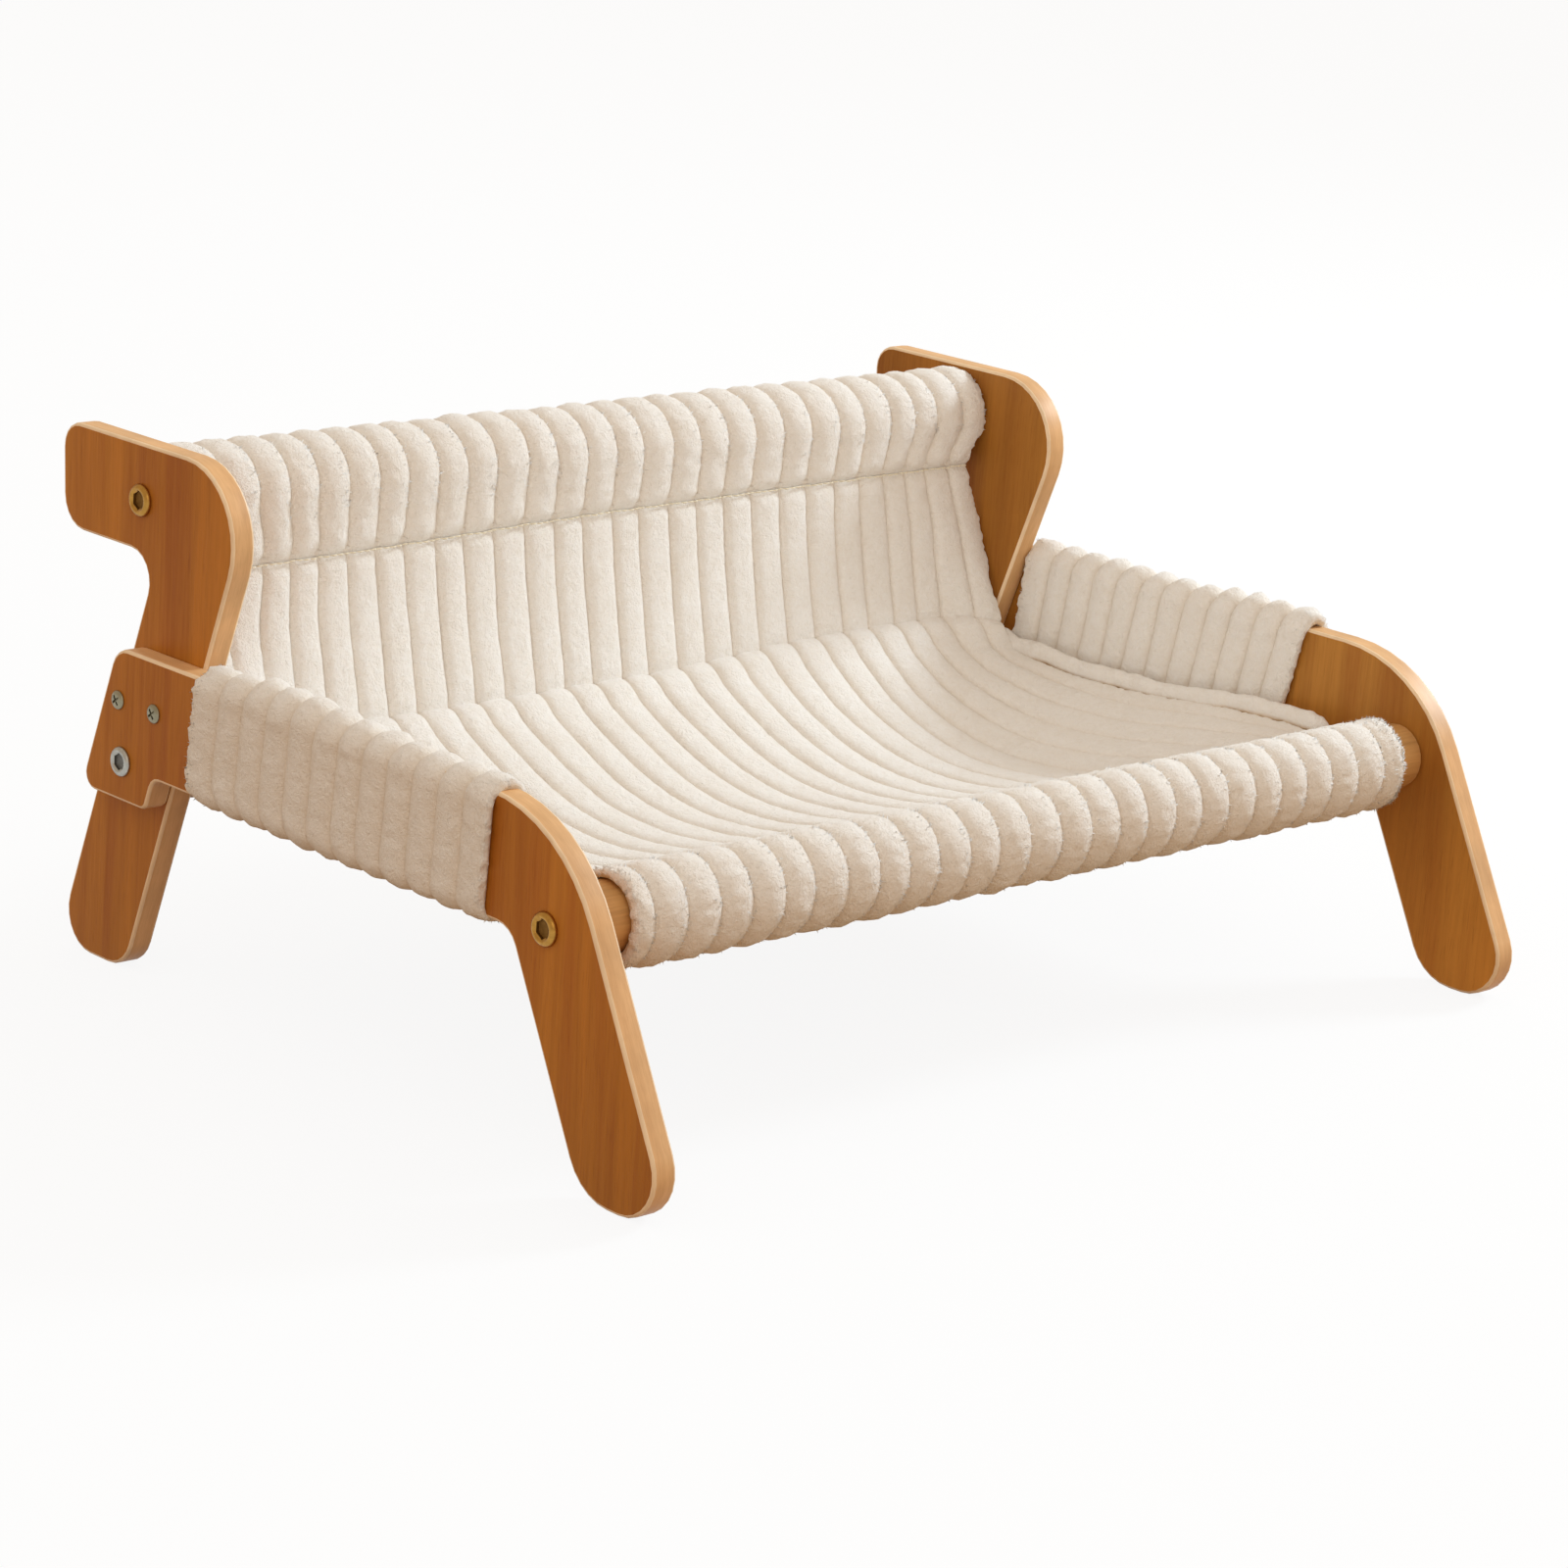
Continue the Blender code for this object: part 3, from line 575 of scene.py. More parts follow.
def rib_grid(count):
    """Every column's rib number and its place across that rib, closer beside the grooves."""
    columns = bpy.context.scene.lounge_cover.rib_columns
    part = np.tile(0.5 - 0.5 * np.cos(np.pi * np.arange(columns) / columns), count)
    rib = np.repeat(np.arange(count), columns)
    return np.append(rib, count - 1), np.append(part, 1.0)


def rib_rise(rib, part, cut_ends, square=2.1):
    """Height across each rib from 0 to 1; the two outer ribs may be cut through."""
    side = np.abs(2 * part - 1)
    rise = np.clip(1 - side ** square, 0, 1) ** 0.68
    outer = ((rib == 0) & (part < 0.5)) | ((rib == rib[-1]) & (part > 0.5))
    return np.where(outer, 1 - cut_ends * side ** 2.2, rise) if cut_ends else rise


def uneven(across, along, seed):
    """Noise from -1 to 1 over places across and along the cloth."""
    points = np.broadcast_arrays(across, along[:, None], np.float64(seed))
    return lattice_noise(np.stack(points, axis=2), 1.0, seed)


def wobble(count, run, seed, amount=0.5):
    """Each groove's own small sideways drift along the cloth, in mm."""
    drift = uneven(np.arange(count) * 3.7, run / 0.024, seed) * amount
    drift[:, [0, -1]] = 0
    return drift


def rib_relief(run, rib, seed):
    """Each rib's own small swelling along the cloth."""
    return 1 + 0.14 * uneven(rib * 5.3 + 0.5, run / 0.03, seed)


def ribbed_columns(ribs_by_row, rib, part):
    """X of every column in every row, in mm."""
    return ribs_by_row[:, rib] * (1 - part) + ribs_by_row[:, rib + 1] * part


def back_columns(run, seed, amount=0.5, narrow=1.0):
    """The back's rib numbers, its places across them and its columns' X, in mm."""
    rib, part = rib_grid(RIBS)
    ribs = np.array(BACK_RIBS) * narrow + wobble(RIBS + 1, run, seed, amount)
    return rib, part, ribbed_columns(ribs, rib, part)


def outward(points, faces):
    """The faces, turned round if the quads among them enclose a negative volume."""
    quads = np.array([face for face in faces if len(face) == 4])
    a, b, c, d = (points[quads[:, i]] for i in range(4))
    volume = np.einsum("ij,ij->", a, np.cross(b, c)) + np.einsum("ij,ij->", a, np.cross(c, d))
    return [tuple(reversed(face)) for face in faces] if volume < 0 else faces


def modelled(name, points, faces, materials, crest=None):
    """A softly shaded piece; crest, at each of its points, is how far its material turns from
    painted groove shade to crest colour.
    """
    mesh = bpy.data.meshes.new(name)
    mesh.from_pydata(points.tolist(), [], faces)
    mesh.polygons.foreach_set("use_smooth", [True] * len(faces))
    for material in materials:
        mesh.materials.append(finish(material))
    if crest is not None:
        layer = mesh.attributes.new("crest", "FLOAT", "POINT")
        layer.data.foreach_set("value", crest)
    return linked(name, mesh)


SURFACES = {}


def cloth(name, base, side, height, backing, crest, run, rib, part, seed, loop=False,
          rim=1.2 * MM, pile=1.0):
    """A closed sheet over a base grid: ribbed plush on its outer side, knit on the inner.

    base is (rows, columns, 3), height and crest (rows, columns), and backing one thickness
    or one for each row. The plush side is kept in SURFACES for the seams and loose pile.
    """
    settings = bpy.context.scene.lounge_cover
    rows, width = base.shape[:2]
    out = unit(np.cross(np.gradient(base, axis=1), np.gradient(base, axis=0)) * side)
    top = base + out * height[..., None]
    clump = 0.55 * lattice_noise(top, 5.2 * MM, seed)
    clump += 0.75 * lattice_noise(top, 2.9 * MM, seed + 7)
    top = top + out * (clump * pile * settings.pile * (0.35 + 0.65 * crest))[..., None]
    from_edge = np.minimum(np.arange(width), np.arange(width)[::-1])
    beyond = unit(np.gradient(top, axis=1))
    beyond[:, :width // 2] *= -1
    fray = lattice_noise(top, 2.4 * MM, seed + 5) * np.clip(1 - from_edge / 3.5, 0, 1)
    top = top + (beyond * 0.9 + out * 0.7) * (fray * 1.5 * MM)[..., None]
    picks = np.arange(0, width, settings.rib_columns // 2)
    under = base[:, picks] - out[:, picks] * np.broadcast_to(backing, rows)[:, None, None]
    wave = 0.25 * MM * lattice_noise(under, 11 * MM, seed + 3)
    under = under + out[:, picks] * wave[..., None]
    sides = []
    for edge, inner in ((0, 1), (-1, -2)):
        beyond = unit(top[:, edge] - top[:, inner])
        bulge = rim * (1 + 0.9 * lattice_noise(top[:, edge], 2.2 * MM, seed + 6))
        sides.append((top[:, edge] + under[:, edge]) / 2 + beyond * bulge[:, None])
    ring = np.concatenate((top, sides[1][:, None], under[:, ::-1], sides[0][:, None]), axis=1)
    size = ring.shape[1]
    faces = []
    kinds = []
    for row in range(rows if loop else rows - 1):
        here, there = row * size, (row + 1) % rows * size
        for k in range(size):
            beside = (k + 1) % size
            faces.append((here + k, here + beside, there + beside, there + k))
            kinds.append(0 if k <= width or k == size - 1 else 1)
    for row in () if loop else (0, rows - 1):
        here = row * size
        low = here + width + len(picks)
        for i in range(len(picks) - 1):
            face = [here + c for c in range(picks[i], picks[i + 1] + 1)]
            face += [low - i - 1, low - i]
            if i == 0:
                face.append(here + size - 1)
            if i == len(picks) - 2:
                face.insert(picks[i + 1] - picks[i] + 1, here + width)
            faces.append(tuple(face) if row else tuple(reversed(face)))
            kinds.append(0)
    points = ring.reshape(-1, 3)
    # Painted groove shade is lifted near the cut edges; the knit gets a middle value it does not
    # read
    lit = np.maximum(crest, np.clip(1.1 - from_edge / 4, 0, 0.95))
    lit = np.column_stack((lit, lit[:, -1], np.full((rows, len(picks)), 0.5), lit[:, 0]))
    piece = modelled(name, points, outward(points, faces), ("plush", "backing"),
                     np.clip(lit, 0, 1).ravel())
    mesh = piece.data
    mesh.polygons.foreach_set("material_index", kinds)
    u = rib + part
    u = np.concatenate((u, u[-1:], u[picks][::-1], u[:1]))
    flat = np.stack(np.broadcast_arrays(u, run[:, None] / 0.02), axis=2)
    loops = np.empty(len(mesh.loops), np.int64)
    mesh.loops.foreach_get("vertex_index", loops)
    mesh.uv_layers.new(name="cloth").data.foreach_set(
        "uv", flat.reshape(-1, 2)[loops].ravel())
    mesh.update()
    SURFACES[name] = top, out
    return piece


def world(x, y, z):
    """Stack mm measured from the front rail's axis into points in metres."""
    x, y, z = np.broadcast_arrays(x, y, z)
    return np.stack((x * MM, y * MM + RAIL_Y, z * MM), axis=2)


def corner_pull(x):
    """How far the cover's corners by the arms are drawn forward, in mm."""
    return np.where(x < 0, 24, 13) * ease((np.abs(x) - 222) / 50) ** 1.2


def drawn_in(x, share):
    """X pulled towards the middle near the cover's sides, fully where share is 1, in mm."""
    return x - np.sign(x) * 8.5 * ease(share) * np.clip((np.abs(x) - 150) / 122, 0, 1) ** 1.5


def sewn_lift(x, low):
    """Rise of the sewn lines over their drawn height; low is 1 at the crease, 0 at the seam."""
    upper = 3.6 * ease((x + 230) / 260)
    lower = (5.3 * ease((x - 10) / 150) - 1.3) * ease((272 - np.abs(x)) / 24)
    return 2.4 * x / 270 + upper * (1 - low) + lower * low


# Each board's tint, and its painted light and shade along its height as a tone low down and high
# up: the left boards get painted shade towards the floor, the right side panel a lighter, yellower
# tint with painted light low down, and the right upright a darker tint that is painted shade
BOARD_TINTS_AND_PAINTED_LIGHT = {"side_panel_left": ((1.07, 1.05, 1.0), (0.86, 1.0)),
          "side_panel_right": ((1.38, 1.58, 2.2), (1.0, 0.715)),
          "upright_left": ((1.05, 1.04, 1.0), (0.93, 1.0)),
          "upright_right": ((0.80, 0.84, 1.05), (1.0, 1.0))}


def make_seat():
    """The seat and the roll round the front rail, in one length of ribbed cloth."""
    settings = bpy.context.scene.lounge_cover
    rear = ((291.4, 124.8), (288.0, 124.5), (284.0, 122.8), (279.8, 119.6), (276, 116.0))
    lowest, lip, rail_z, hem_x = (170, 82.5), (11.3, 132.6), 115, 268.6
    y = np.arange(274, lip[0], -2.0)
    z = lowest[1] + np.where(y > lowest[0], 0.00298, 0.00199) * (y - lowest[0]) ** 2
    seat_line = spaced(np.vstack((smooth_line(rear), np.column_stack((y, z)), lip)), 1.9)
    roll = []
    first, last = 57.3, 300.1
    for degrees in np.arange(first, last, 2.0):
        radius = 20.9 + 1.1 * float(ease((degrees - first) / 60))
        roll.append((radius * math.cos(math.radians(degrees)),
                     rail_z + radius * math.sin(math.radians(degrees))))
    flap = smooth_line((roll[-1], (17, 99.4), (24, 104.6), (31, 109.4), (36.5, 112.4)))
    line = np.vstack((seat_line, spaced(np.array(roll), 1.35)[1:], spaced(flap, 2.2)[1:]))
    deep, level = line[:, :1], line[:, 1:]
    rows, seat_rows = len(line), len(seat_line)
    run = lengths(line) * MM
    rib, part = rib_grid(RIBS)
    forward = np.clip(run / run[seat_rows - 1], 0, 1)[:, None]
    narrow = 1 - 0.0055 * (1 - ease((forward - 0.80) / 0.2))
    ribs = (np.array(BACK_RIBS) * (1 - forward) + np.array(FRONT_RIBS) * forward) * narrow
    to_hem = (1 - ease((forward - 0.88) / 0.1)) * ease((forward - 0.1) / 0.3)
    edges = ribs[:, [0, -1]]
    ribs[:, [0, -1]] += np.sign(edges) * (hem_x - np.abs(edges)) * to_hem
    ribs = ribs + wobble(RIBS + 1, run, 11)
    x = ribbed_columns(ribs, rib, part)
    on_seat = (np.arange(rows) < seat_rows)[:, None]
    y = deep - np.where(on_seat, corner_pull(x) * np.clip((deep - 235) / 56, 0, 1) ** 1.2, 0)
    lift = np.clip((np.abs(x) - 176) / 93, 0, 1) ** 1.15
    hem_z = np.interp(y, *np.transpose(HEM_LOW))
    z = level + np.where(on_seat, np.maximum(hem_z - level, 0) * lift, 0)
    z = z + sewn_lift(x, 1) * np.clip((deep - 250) / 40, 0, 1) * on_seat
    calm = ease((x - 70) / 150) * on_seat * ease((240 - deep) / 60)
    z = z + 1.3 * calm * lattice_noise(np.stack((x / 26, y / 70, 0 * x), axis=2), 1.0, 15)
    on_roll = ease((run[:, None] / run[seat_rows - 1] - 0.97) / 0.05)
    width = (np.diff(ribs, axis=1)[:, rib] / 18).clip(0, 1)
    # crest sets both the ribs' rise and their painted groove shade
    crest = rib_rise(rib, part, 0, 3.4) * (1 - on_roll)
    crest = (crest + rib_rise(rib, part, 0.42) * on_roll) * width
    crest = 1 - (1 - crest) * (1 - 0.35 * calm)
    stub = np.where((rib == RIBS - 1) & (width < 0.3), on_roll * 0.72, 0)
    right = np.where((rib == RIBS - 2) & (part > 0.5),
                     1 - 0.30 * np.abs(2 * part - 1) ** 2.2, 0)
    crest = np.maximum(np.maximum(crest, stub), right * on_roll)
    swell = rib_relief(run, rib, 12) * (1 - 0.45 * calm)
    pinch = 0.55 + 0.45 * ease(run[:, None] / (9 * MM))
    end = 1 - 0.8 * ease((run[:, None] - run[-1] + 16 * MM) / (16 * MM))
    past = (run[:, None] - run[seat_rows - 1]) / MM
    puff = (0.86 + 0.24 * on_roll) * (1 - 0.86 * np.exp(-((past - 4) / 12.0) ** 2))
    height = settings.rib_height * crest * swell * pinch * end * puff
    backing = np.where(np.arange(rows) < seat_rows - 6, settings.backing, 3.6 * MM)
    backing = np.convolve(np.pad(backing, 6, mode="edge"), np.ones(13) / 13, "valid")
    piece = cloth("seat_cover", world(x, y, z), -1, height, backing, crest, run, rib, part,
                  21, rim=1.4 * MM, pile=0.8 + 0.9 * on_roll)
    SURFACES["front_roll"] = [grid[seat_rows - 4:] for grid in SURFACES["seat_cover"]]
    return piece


def roll_line(rail, seam, radius, gap, spacing):
    """Line of a pocket round a rail: up from the seam, over, and back to it, in mm."""
    rail = middle(rail)
    centre = np.array(((rail.y - RAIL_Y) / MM, rail.z / MM))
    seam = np.array(seam)
    reach = centre - seam
    far = float(np.hypot(*reach))
    aim = math.atan2(reach[1], reach[0])
    lean = math.asin(radius / far)
    tangent = math.sqrt(far ** 2 - radius ** 2)
    front, rear = (seam + tangent * np.array((math.cos(turn), math.sin(turn)))
                   for turn in (aim + lean, aim - lean))
    first = math.degrees(math.atan2(*(front - centre)[::-1])) % 360
    last = math.degrees(math.atan2(*(rear - centre)[::-1]))
    turns = np.radians(np.linspace(first, last if last < first else last - 360, 90))
    over = np.column_stack((centre[0] + radius * np.cos(turns),
                            centre[1] + radius * np.sin(turns)))
    up = np.linspace(seam + (0, gap), front, 20)
    back = np.linspace(rear, seam + (gap * 1.2, -0.2), 20)
    return spaced(np.vstack((up[:-1], over, back[1:])), spacing)


def make_top_roll():
    """The ribbed roll over the top rail, down to its seam."""
    settings = bpy.context.scene.lounge_cover
    line = roll_line("top_rail", (307.2, 207.5), 22.4, 0.3, 1.4)
    run = lengths(line) * MM
    rib, part, x = back_columns(run, 31, 0.7)
    near = np.minimum(run, run[-1] - run)[:, None]
    x = drawn_in(x, 1.3 - near / (22 * MM))
    tuck = 0.9 * (1 - ease(run[:, None] / (6 * MM)))
    tilt = sewn_lift(x, 0) * np.clip((240 - line[:, 1:]) / 30, 0, 1)
    base = world(x, line[:, :1] + tuck, line[:, 1:] + tilt)
    crest = np.broadcast_to(rib_rise(rib, part, 0.35), x.shape)
    pinch = 0.5 + 0.5 * ease(run[:, None] / (8 * MM))
    end = 1 - 0.6 * ease((run[:, None] - run[-1] + 10 * MM) / (10 * MM))
    height = settings.rib_height * 1.02 * crest * rib_relief(run, rib, 32) * pinch * end
    return cloth("top_roll_cover", base, 1, height, 3.6 * MM, crest, run, rib, part, 41,
                 pile=1.4)


def make_backrest():
    """The ribbed backrest between the top seam and the crease."""
    settings = bpy.context.scene.lounge_cover
    down = np.linspace(0, 1, 58)
    line = np.column_stack((307.4 - 17.2 * down + 1.6 * np.sin(np.pi * down),
                            207.3 - 82.7 * down))
    line[:, 0] += 0.8 * (1 - ease(down / 0.06))
    run = lengths(line) * MM
    down = down[:, None]
    rib, part, x = back_columns(run, 51, narrow=1 - 0.0055 * down)
    x = drawn_in(x, 1 - down / 0.45)
    bend = np.clip((187 - line[:, 1:]) / 62, 0, 1) ** 1.6 * corner_pull(x)
    base = world(x, line[:, :1] - bend, line[:, 1:] + sewn_lift(x, down))
    crest = np.broadcast_to(rib_rise(rib, part, 0.5, 3.8), x.shape)
    pinch = 0.45 + 0.55 * ease(run[:, None] / (8 * MM))
    pinch = pinch * (0.55 + 0.45 * ease((run[-1] - run[:, None]) / (7 * MM)))
    height = settings.rib_height * 0.86 * crest * rib_relief(run, rib, 52) * pinch
    return cloth("backrest_cover", base, -1, height, settings.backing, crest, run, rib, part,
                 61)


def make_back_pocket():
    """The pocket round the back rail that holds the crease."""
    settings = bpy.context.scene.lounge_cover
    line = roll_line("back_rail", (292.6, 121.6), 19.9, 0.6, 1.9)
    run = lengths(line) * MM
    rib, part, x = back_columns(run, 71, narrow=0.9882)
    ahead = corner_pull(x) * np.clip((312 - line[:, :1]) / 20, 0, 1)
    tilt = sewn_lift(x, 1) * np.clip((306 - line[:, :1]) / 14, 0, 1)
    base = world(x, line[:, :1] - ahead, line[:, 1:] + tilt)
    crest = np.broadcast_to(rib_rise(rib, part, 0.4), x.shape)
    pinch = 0.3 + 0.7 * ease(np.minimum(run, run[-1] - run)[:, None] / (8 * MM))
    height = settings.rib_height * 0.7 * crest * rib_relief(run, rib, 72) * pinch
    return cloth("back_pocket_cover", base, 1, height, 1.9 * MM, crest, run, rib, part, 81)


def sleeve_section():
    """Ring round the arm bar: outer face, top, inner face, bottom, in mm from its middle."""
    points = []
    for side, end, radius, first in (
            (SLEEVE_HALF, SLEEVE_TOP, 9.6, 0), (-SLEEVE_HALF, SLEEVE_TOP, 9.6, 90),
            (-SLEEVE_HALF, SLEEVE_LOW, 7.5, 180), (SLEEVE_HALF, SLEEVE_LOW, 7.5, 270)):
        x = side - math.copysign(radius, side)
        z = end - radius if end == SLEEVE_TOP else end + radius
        for turn in np.radians(np.linspace(first, first + 90, 12)):
            points.append((x + radius * math.cos(turn), z + radius * math.sin(turn)))
    points.append(points[0])
    return spaced(np.array(points), 1.9)[:-1]


def make_sleeve(name, side):
    """The ribbed sleeve round one arm bar."""
    settings = bpy.context.scene.lounge_cover
    ring = sleeve_section()
    run = lengths(ring) * MM
    rib, part = rib_grid(SLEEVE_RIBS)
    out, z = ring[:, :1], ring[:, 1:]
    facing_out = (out + SLEEVE_HALF) / (2 * SLEEVE_HALF)
    if side > 0:
        front = 74.5 - 0.22 * (z - 140)
        rear = 274 - 0.12 * (z - 140)
    else:
        front = 39.5 - 0.05 * (z - 140)
        corner = np.clip((123 - z) / 15, 0, 1) ** 2 * 9
        rear = 258.5 - 0.10 * (z - 140) - corner * facing_out
    u = (rib + part) / SLEEVE_RIBS
    drift = wobble(SLEEVE_RIBS + 1, run, 91 + side)
    y = front + (rear - front) * u + ribbed_columns(drift, rib, part)
    high = np.clip((z - 160) / 12, 0, 1)
    if side < 0:
        mound = np.exp(-((y - 196) / 42) ** 2) * 4.4 - 1.2
    else:
        mound = np.exp(-((y - 92) / 24) ** 2) * 3.2 + 0.4
    sway = mound * high - 0.9 * np.sin(np.pi * u) * np.clip((116 - z) / 8, 0, 1)
    z = z + sway
    bar = side * (OUTER_FACE + OUTER_INSIDE) / 2 / MM
    base = world(bar + side * out, y, z)
    soft = rib_rise(rib, part, 0.3, 1.7) ** 1.25
    crest = rib_rise(rib, part, 0.3) * (1 - facing_out) + soft * facing_out
    low = np.clip((118 - z) / 10, 0, 1)
    puff = 0.92 + 0.55 * high - 0.3 * low + 0.35 * high * lattice_noise(base, 9 * MM, 95)
    height = settings.rib_height * 0.92 * crest * rib_relief(run, rib, 93 + side) * puff
    return cloth("arm_sleeve_cover_" + name, base, side, height, 1.9 * MM, crest, run, rib,
                 part, 101 + side, loop=True, pile=1.4 + 0.8 * high)


def tube_faces(rows, sides, first=0):
    """Faces of a closed tube of rings of points, numbered from a first one."""
    faces = []
    for row, k in itertools.product(range(rows - 1), range(sides)):
        here = first + row * sides
        beside = (k + 1) % sides
        faces.append((here + k, here + beside, here + sides + beside, here + sides + k))
    last = first + (rows - 1) * sides
    return faces + [tuple(range(first, first + sides))[::-1],
                    tuple(range(last, last + sides))]


def rope(name, path, wide, tall, seed, inward, sides=18):
    """A closed soft cord along a path of points in metres, uneven like rolled cloth.

    The line low on its inner side, where it is sewn down, takes a brown that stands for the thread
    and for painted shade under the cord, and the cord's underside is painted a little darker as
    shade.
    """
    ahead = unit(np.gradient(path, axis=0))
    across = np.tile((1.0, 0.0, 0.0), (len(path), 1))
    up = np.cross(across, ahead)
    up *= np.sign(up[:, 2:3])
    turns = np.linspace(0, 2 * np.pi, sides, endpoint=False)
    from_end = np.minimum(np.arange(len(path)), np.arange(len(path))[::-1])
    fade = np.sqrt(np.clip(from_end / 4, 0.06, 1))
    fade = fade * (1 + 0.25 * np.exp(-lengths(path) / 0.025))
    ring = across[:, None] * (wide * np.cos(turns))[:, None]
    ring = (ring + up[:, None] * (tall * np.sin(turns))[:, None]) * fade[:, None, None]
    points = path[:, None] + ring
    bump = lattice_noise(points, 9 * MM, seed) * 0.9 * MM
    bump = bump + lattice_noise(points, 4 * MM, seed + 1) * 0.7 * MM
    points = (points + ring / max(wide, tall) * bump[..., None]).reshape(-1, 3)
    # Painted shade: the underside darker, and the sewn line brown, part thread and part shade
    sewn_line_thread_and_shade = 0.8 * np.cos(turns) * inward - 0.6 * np.sin(turns)
    lit = (0.9 + 0.1 * np.sin(turns)) * (1 - np.clip((sewn_line_thread_and_shade - 0.85) / 0.1, 0, 1))
    return modelled(name, points, outward(points, tube_faces(len(path), sides)), ("hem",),
                    np.tile(lit, len(path)))


def tufts(name, points, out, length, width, seed):
    """Short three-sided wisps of pile on given points, shaded softly as one brush."""
    chance = np.random.default_rng(seed)
    count = len(points)
    out = unit(out)
    tip = unit(out + chance.normal(0, 0.55, (count, 3)))
    long = length * chance.uniform(0.55, 1.15, (count, 1))
    across = unit(np.cross(tip, chance.normal(0, 1, (count, 3))))
    other = np.cross(tip, across)
    wide = width * chance.uniform(0.7, 1.2, (count, 1))
    corners = [points - out * 0.4 * MM + (across * math.cos(turn)
                                          + other * math.sin(turn)) * wide
               for turn in (0, 2 * math.pi / 3, 4 * math.pi / 3)]
    corners.append(points + tip * long)
    start = np.arange(count)[:, None] * 4
    pattern = np.array(((0, 2, 1), (0, 1, 3), (1, 2, 3), (2, 0, 3)))
    faces = (start[:, None] + pattern[None]).reshape(-1, 3)
    piece = modelled(name, np.stack(corners, axis=1).reshape(-1, 3), faces.tolist(),
                     ("wisps",), np.tile((0.75, 0.75, 0.75, 1.0), count))
    piece.data.normals_split_custom_set_from_vertices(np.repeat(out, 4, axis=0).tolist())
    return hold(piece, "plush")


def scatter(top, out, count, seed):
    """Places and outward directions spread over a band of a grid."""
    chance = np.random.default_rng(seed)
    rows = chance.uniform(0, top.shape[0] - 1.001, count)
    cols = chance.uniform(0, top.shape[1] - 1.001, count)
    r, c = rows.astype(int), cols.astype(int)
    fr, fc = (rows - r)[:, None], (cols - c)[:, None]
    place = (top[r, c] * (1 - fr) + top[r + 1, c] * fr) * (1 - fc)
    place = place + (top[r, c + 1] * (1 - fr) + top[r + 1, c + 1] * fr) * fc
    return place, out[r, c]


def stitches(name, line, out, spacing, length, radius, seed):
    """Short thread stitches laid end to end along a seam."""
    run = lengths(line)
    chance = np.random.default_rng(seed)
    sides = 6
    rings = (0.35, 0.9, 1.0, 0.9, 0.35)
    turns = np.linspace(0, 2 * np.pi, sides, endpoint=False)
    points = []
    faces = []
    for start in np.arange(0.001, run[-1] - length, spacing):
        places = start + length * np.array((0, 0.2, 0.5, 0.8, 1.0))
        centre, away = (np.column_stack([np.interp(places, run, grid[:, i]) for i in range(3)])
                        for grid in (line, out))
        away = unit(away)
        centre = centre + away * (radius * np.array((-1.2, 0.4, 0.9, 0.4, -1.2)))[:, None]
        centre = centre + chance.normal(0, 0.12 * MM, 3)
        side = np.cross(unit(centre[-1] - centre[0]), away)
        faces += tube_faces(len(rings), sides, len(points))
        for c, a, s, k in zip(centre, away, side, rings):
            for turn in turns:
                points.append(c + (a * math.cos(turn) + s * math.sin(turn)) * radius * k)
    points = np.array(points)
    return modelled(name, points, outward(points, faces), ("thread",))


# Wood and fasteners

def refined(node, name, *materials):
    """A copy of a node with its loose triangles joined and its edges softly shaded."""
    mesh = NODES[node].data.copy()
    mesh.name = name
    piece = linked(name, mesh)
    only(piece)
    bpy.ops.object.mode_set(mode="EDIT")
    bpy.ops.mesh.select_all(action="SELECT")
    bpy.ops.mesh.customdata_custom_splitnormals_clear()
    bpy.ops.mesh.remove_doubles(threshold=0.02 * MM)
    bpy.ops.mesh.dissolve_limited(angle_limit=math.radians(0.4))
    bpy.ops.mesh.quads_convert_to_tris()
    bpy.ops.object.mode_set(mode="OBJECT")
    mesh.materials.clear()
    for material in materials:
        mesh.materials.append(material)
    bpy.ops.object.shade_smooth()
    return piece


def make_board(node):
    """One board: veneered faces, sanded ply edges, and on the eased edges between them a paler
    painted highlight.
    """
    wood = bpy.context.scene.lounge_frame
    # tint and tone carry the board's painted light and shade
    tint, tone = BOARD_TINTS_AND_PAINTED_LIGHT[node]
    face = board_finish("veneer_" + node, shaded(wood.face_colour, tint),
                        shaded(wood.streak_colour, tint), tone)
    piece = refined(node, "dressed_" + node, face, finish("edge"), finish("eased"))
    # Faces turned partway from X take the painted highlight of the eased edge
    for polygon in piece.data.polygons:
        flat = abs(polygon.normal.x)
        polygon.material_index = 0 if flat > 0.95 else 2 if flat > 0.3 else 1
    soften(piece, 62)
    apply(piece, "WEIGHTED_NORMAL", mode="FACE_AREA", weight=100, keep_sharp=True)
    return hold(piece, "board_wood", node)


def make_rail(node):
    """One dowel."""
    piece = refined(node, "dressed_" + node, finish("rail"))
    soften(piece, 40)
    return hold(piece, "dowel_wood", node)


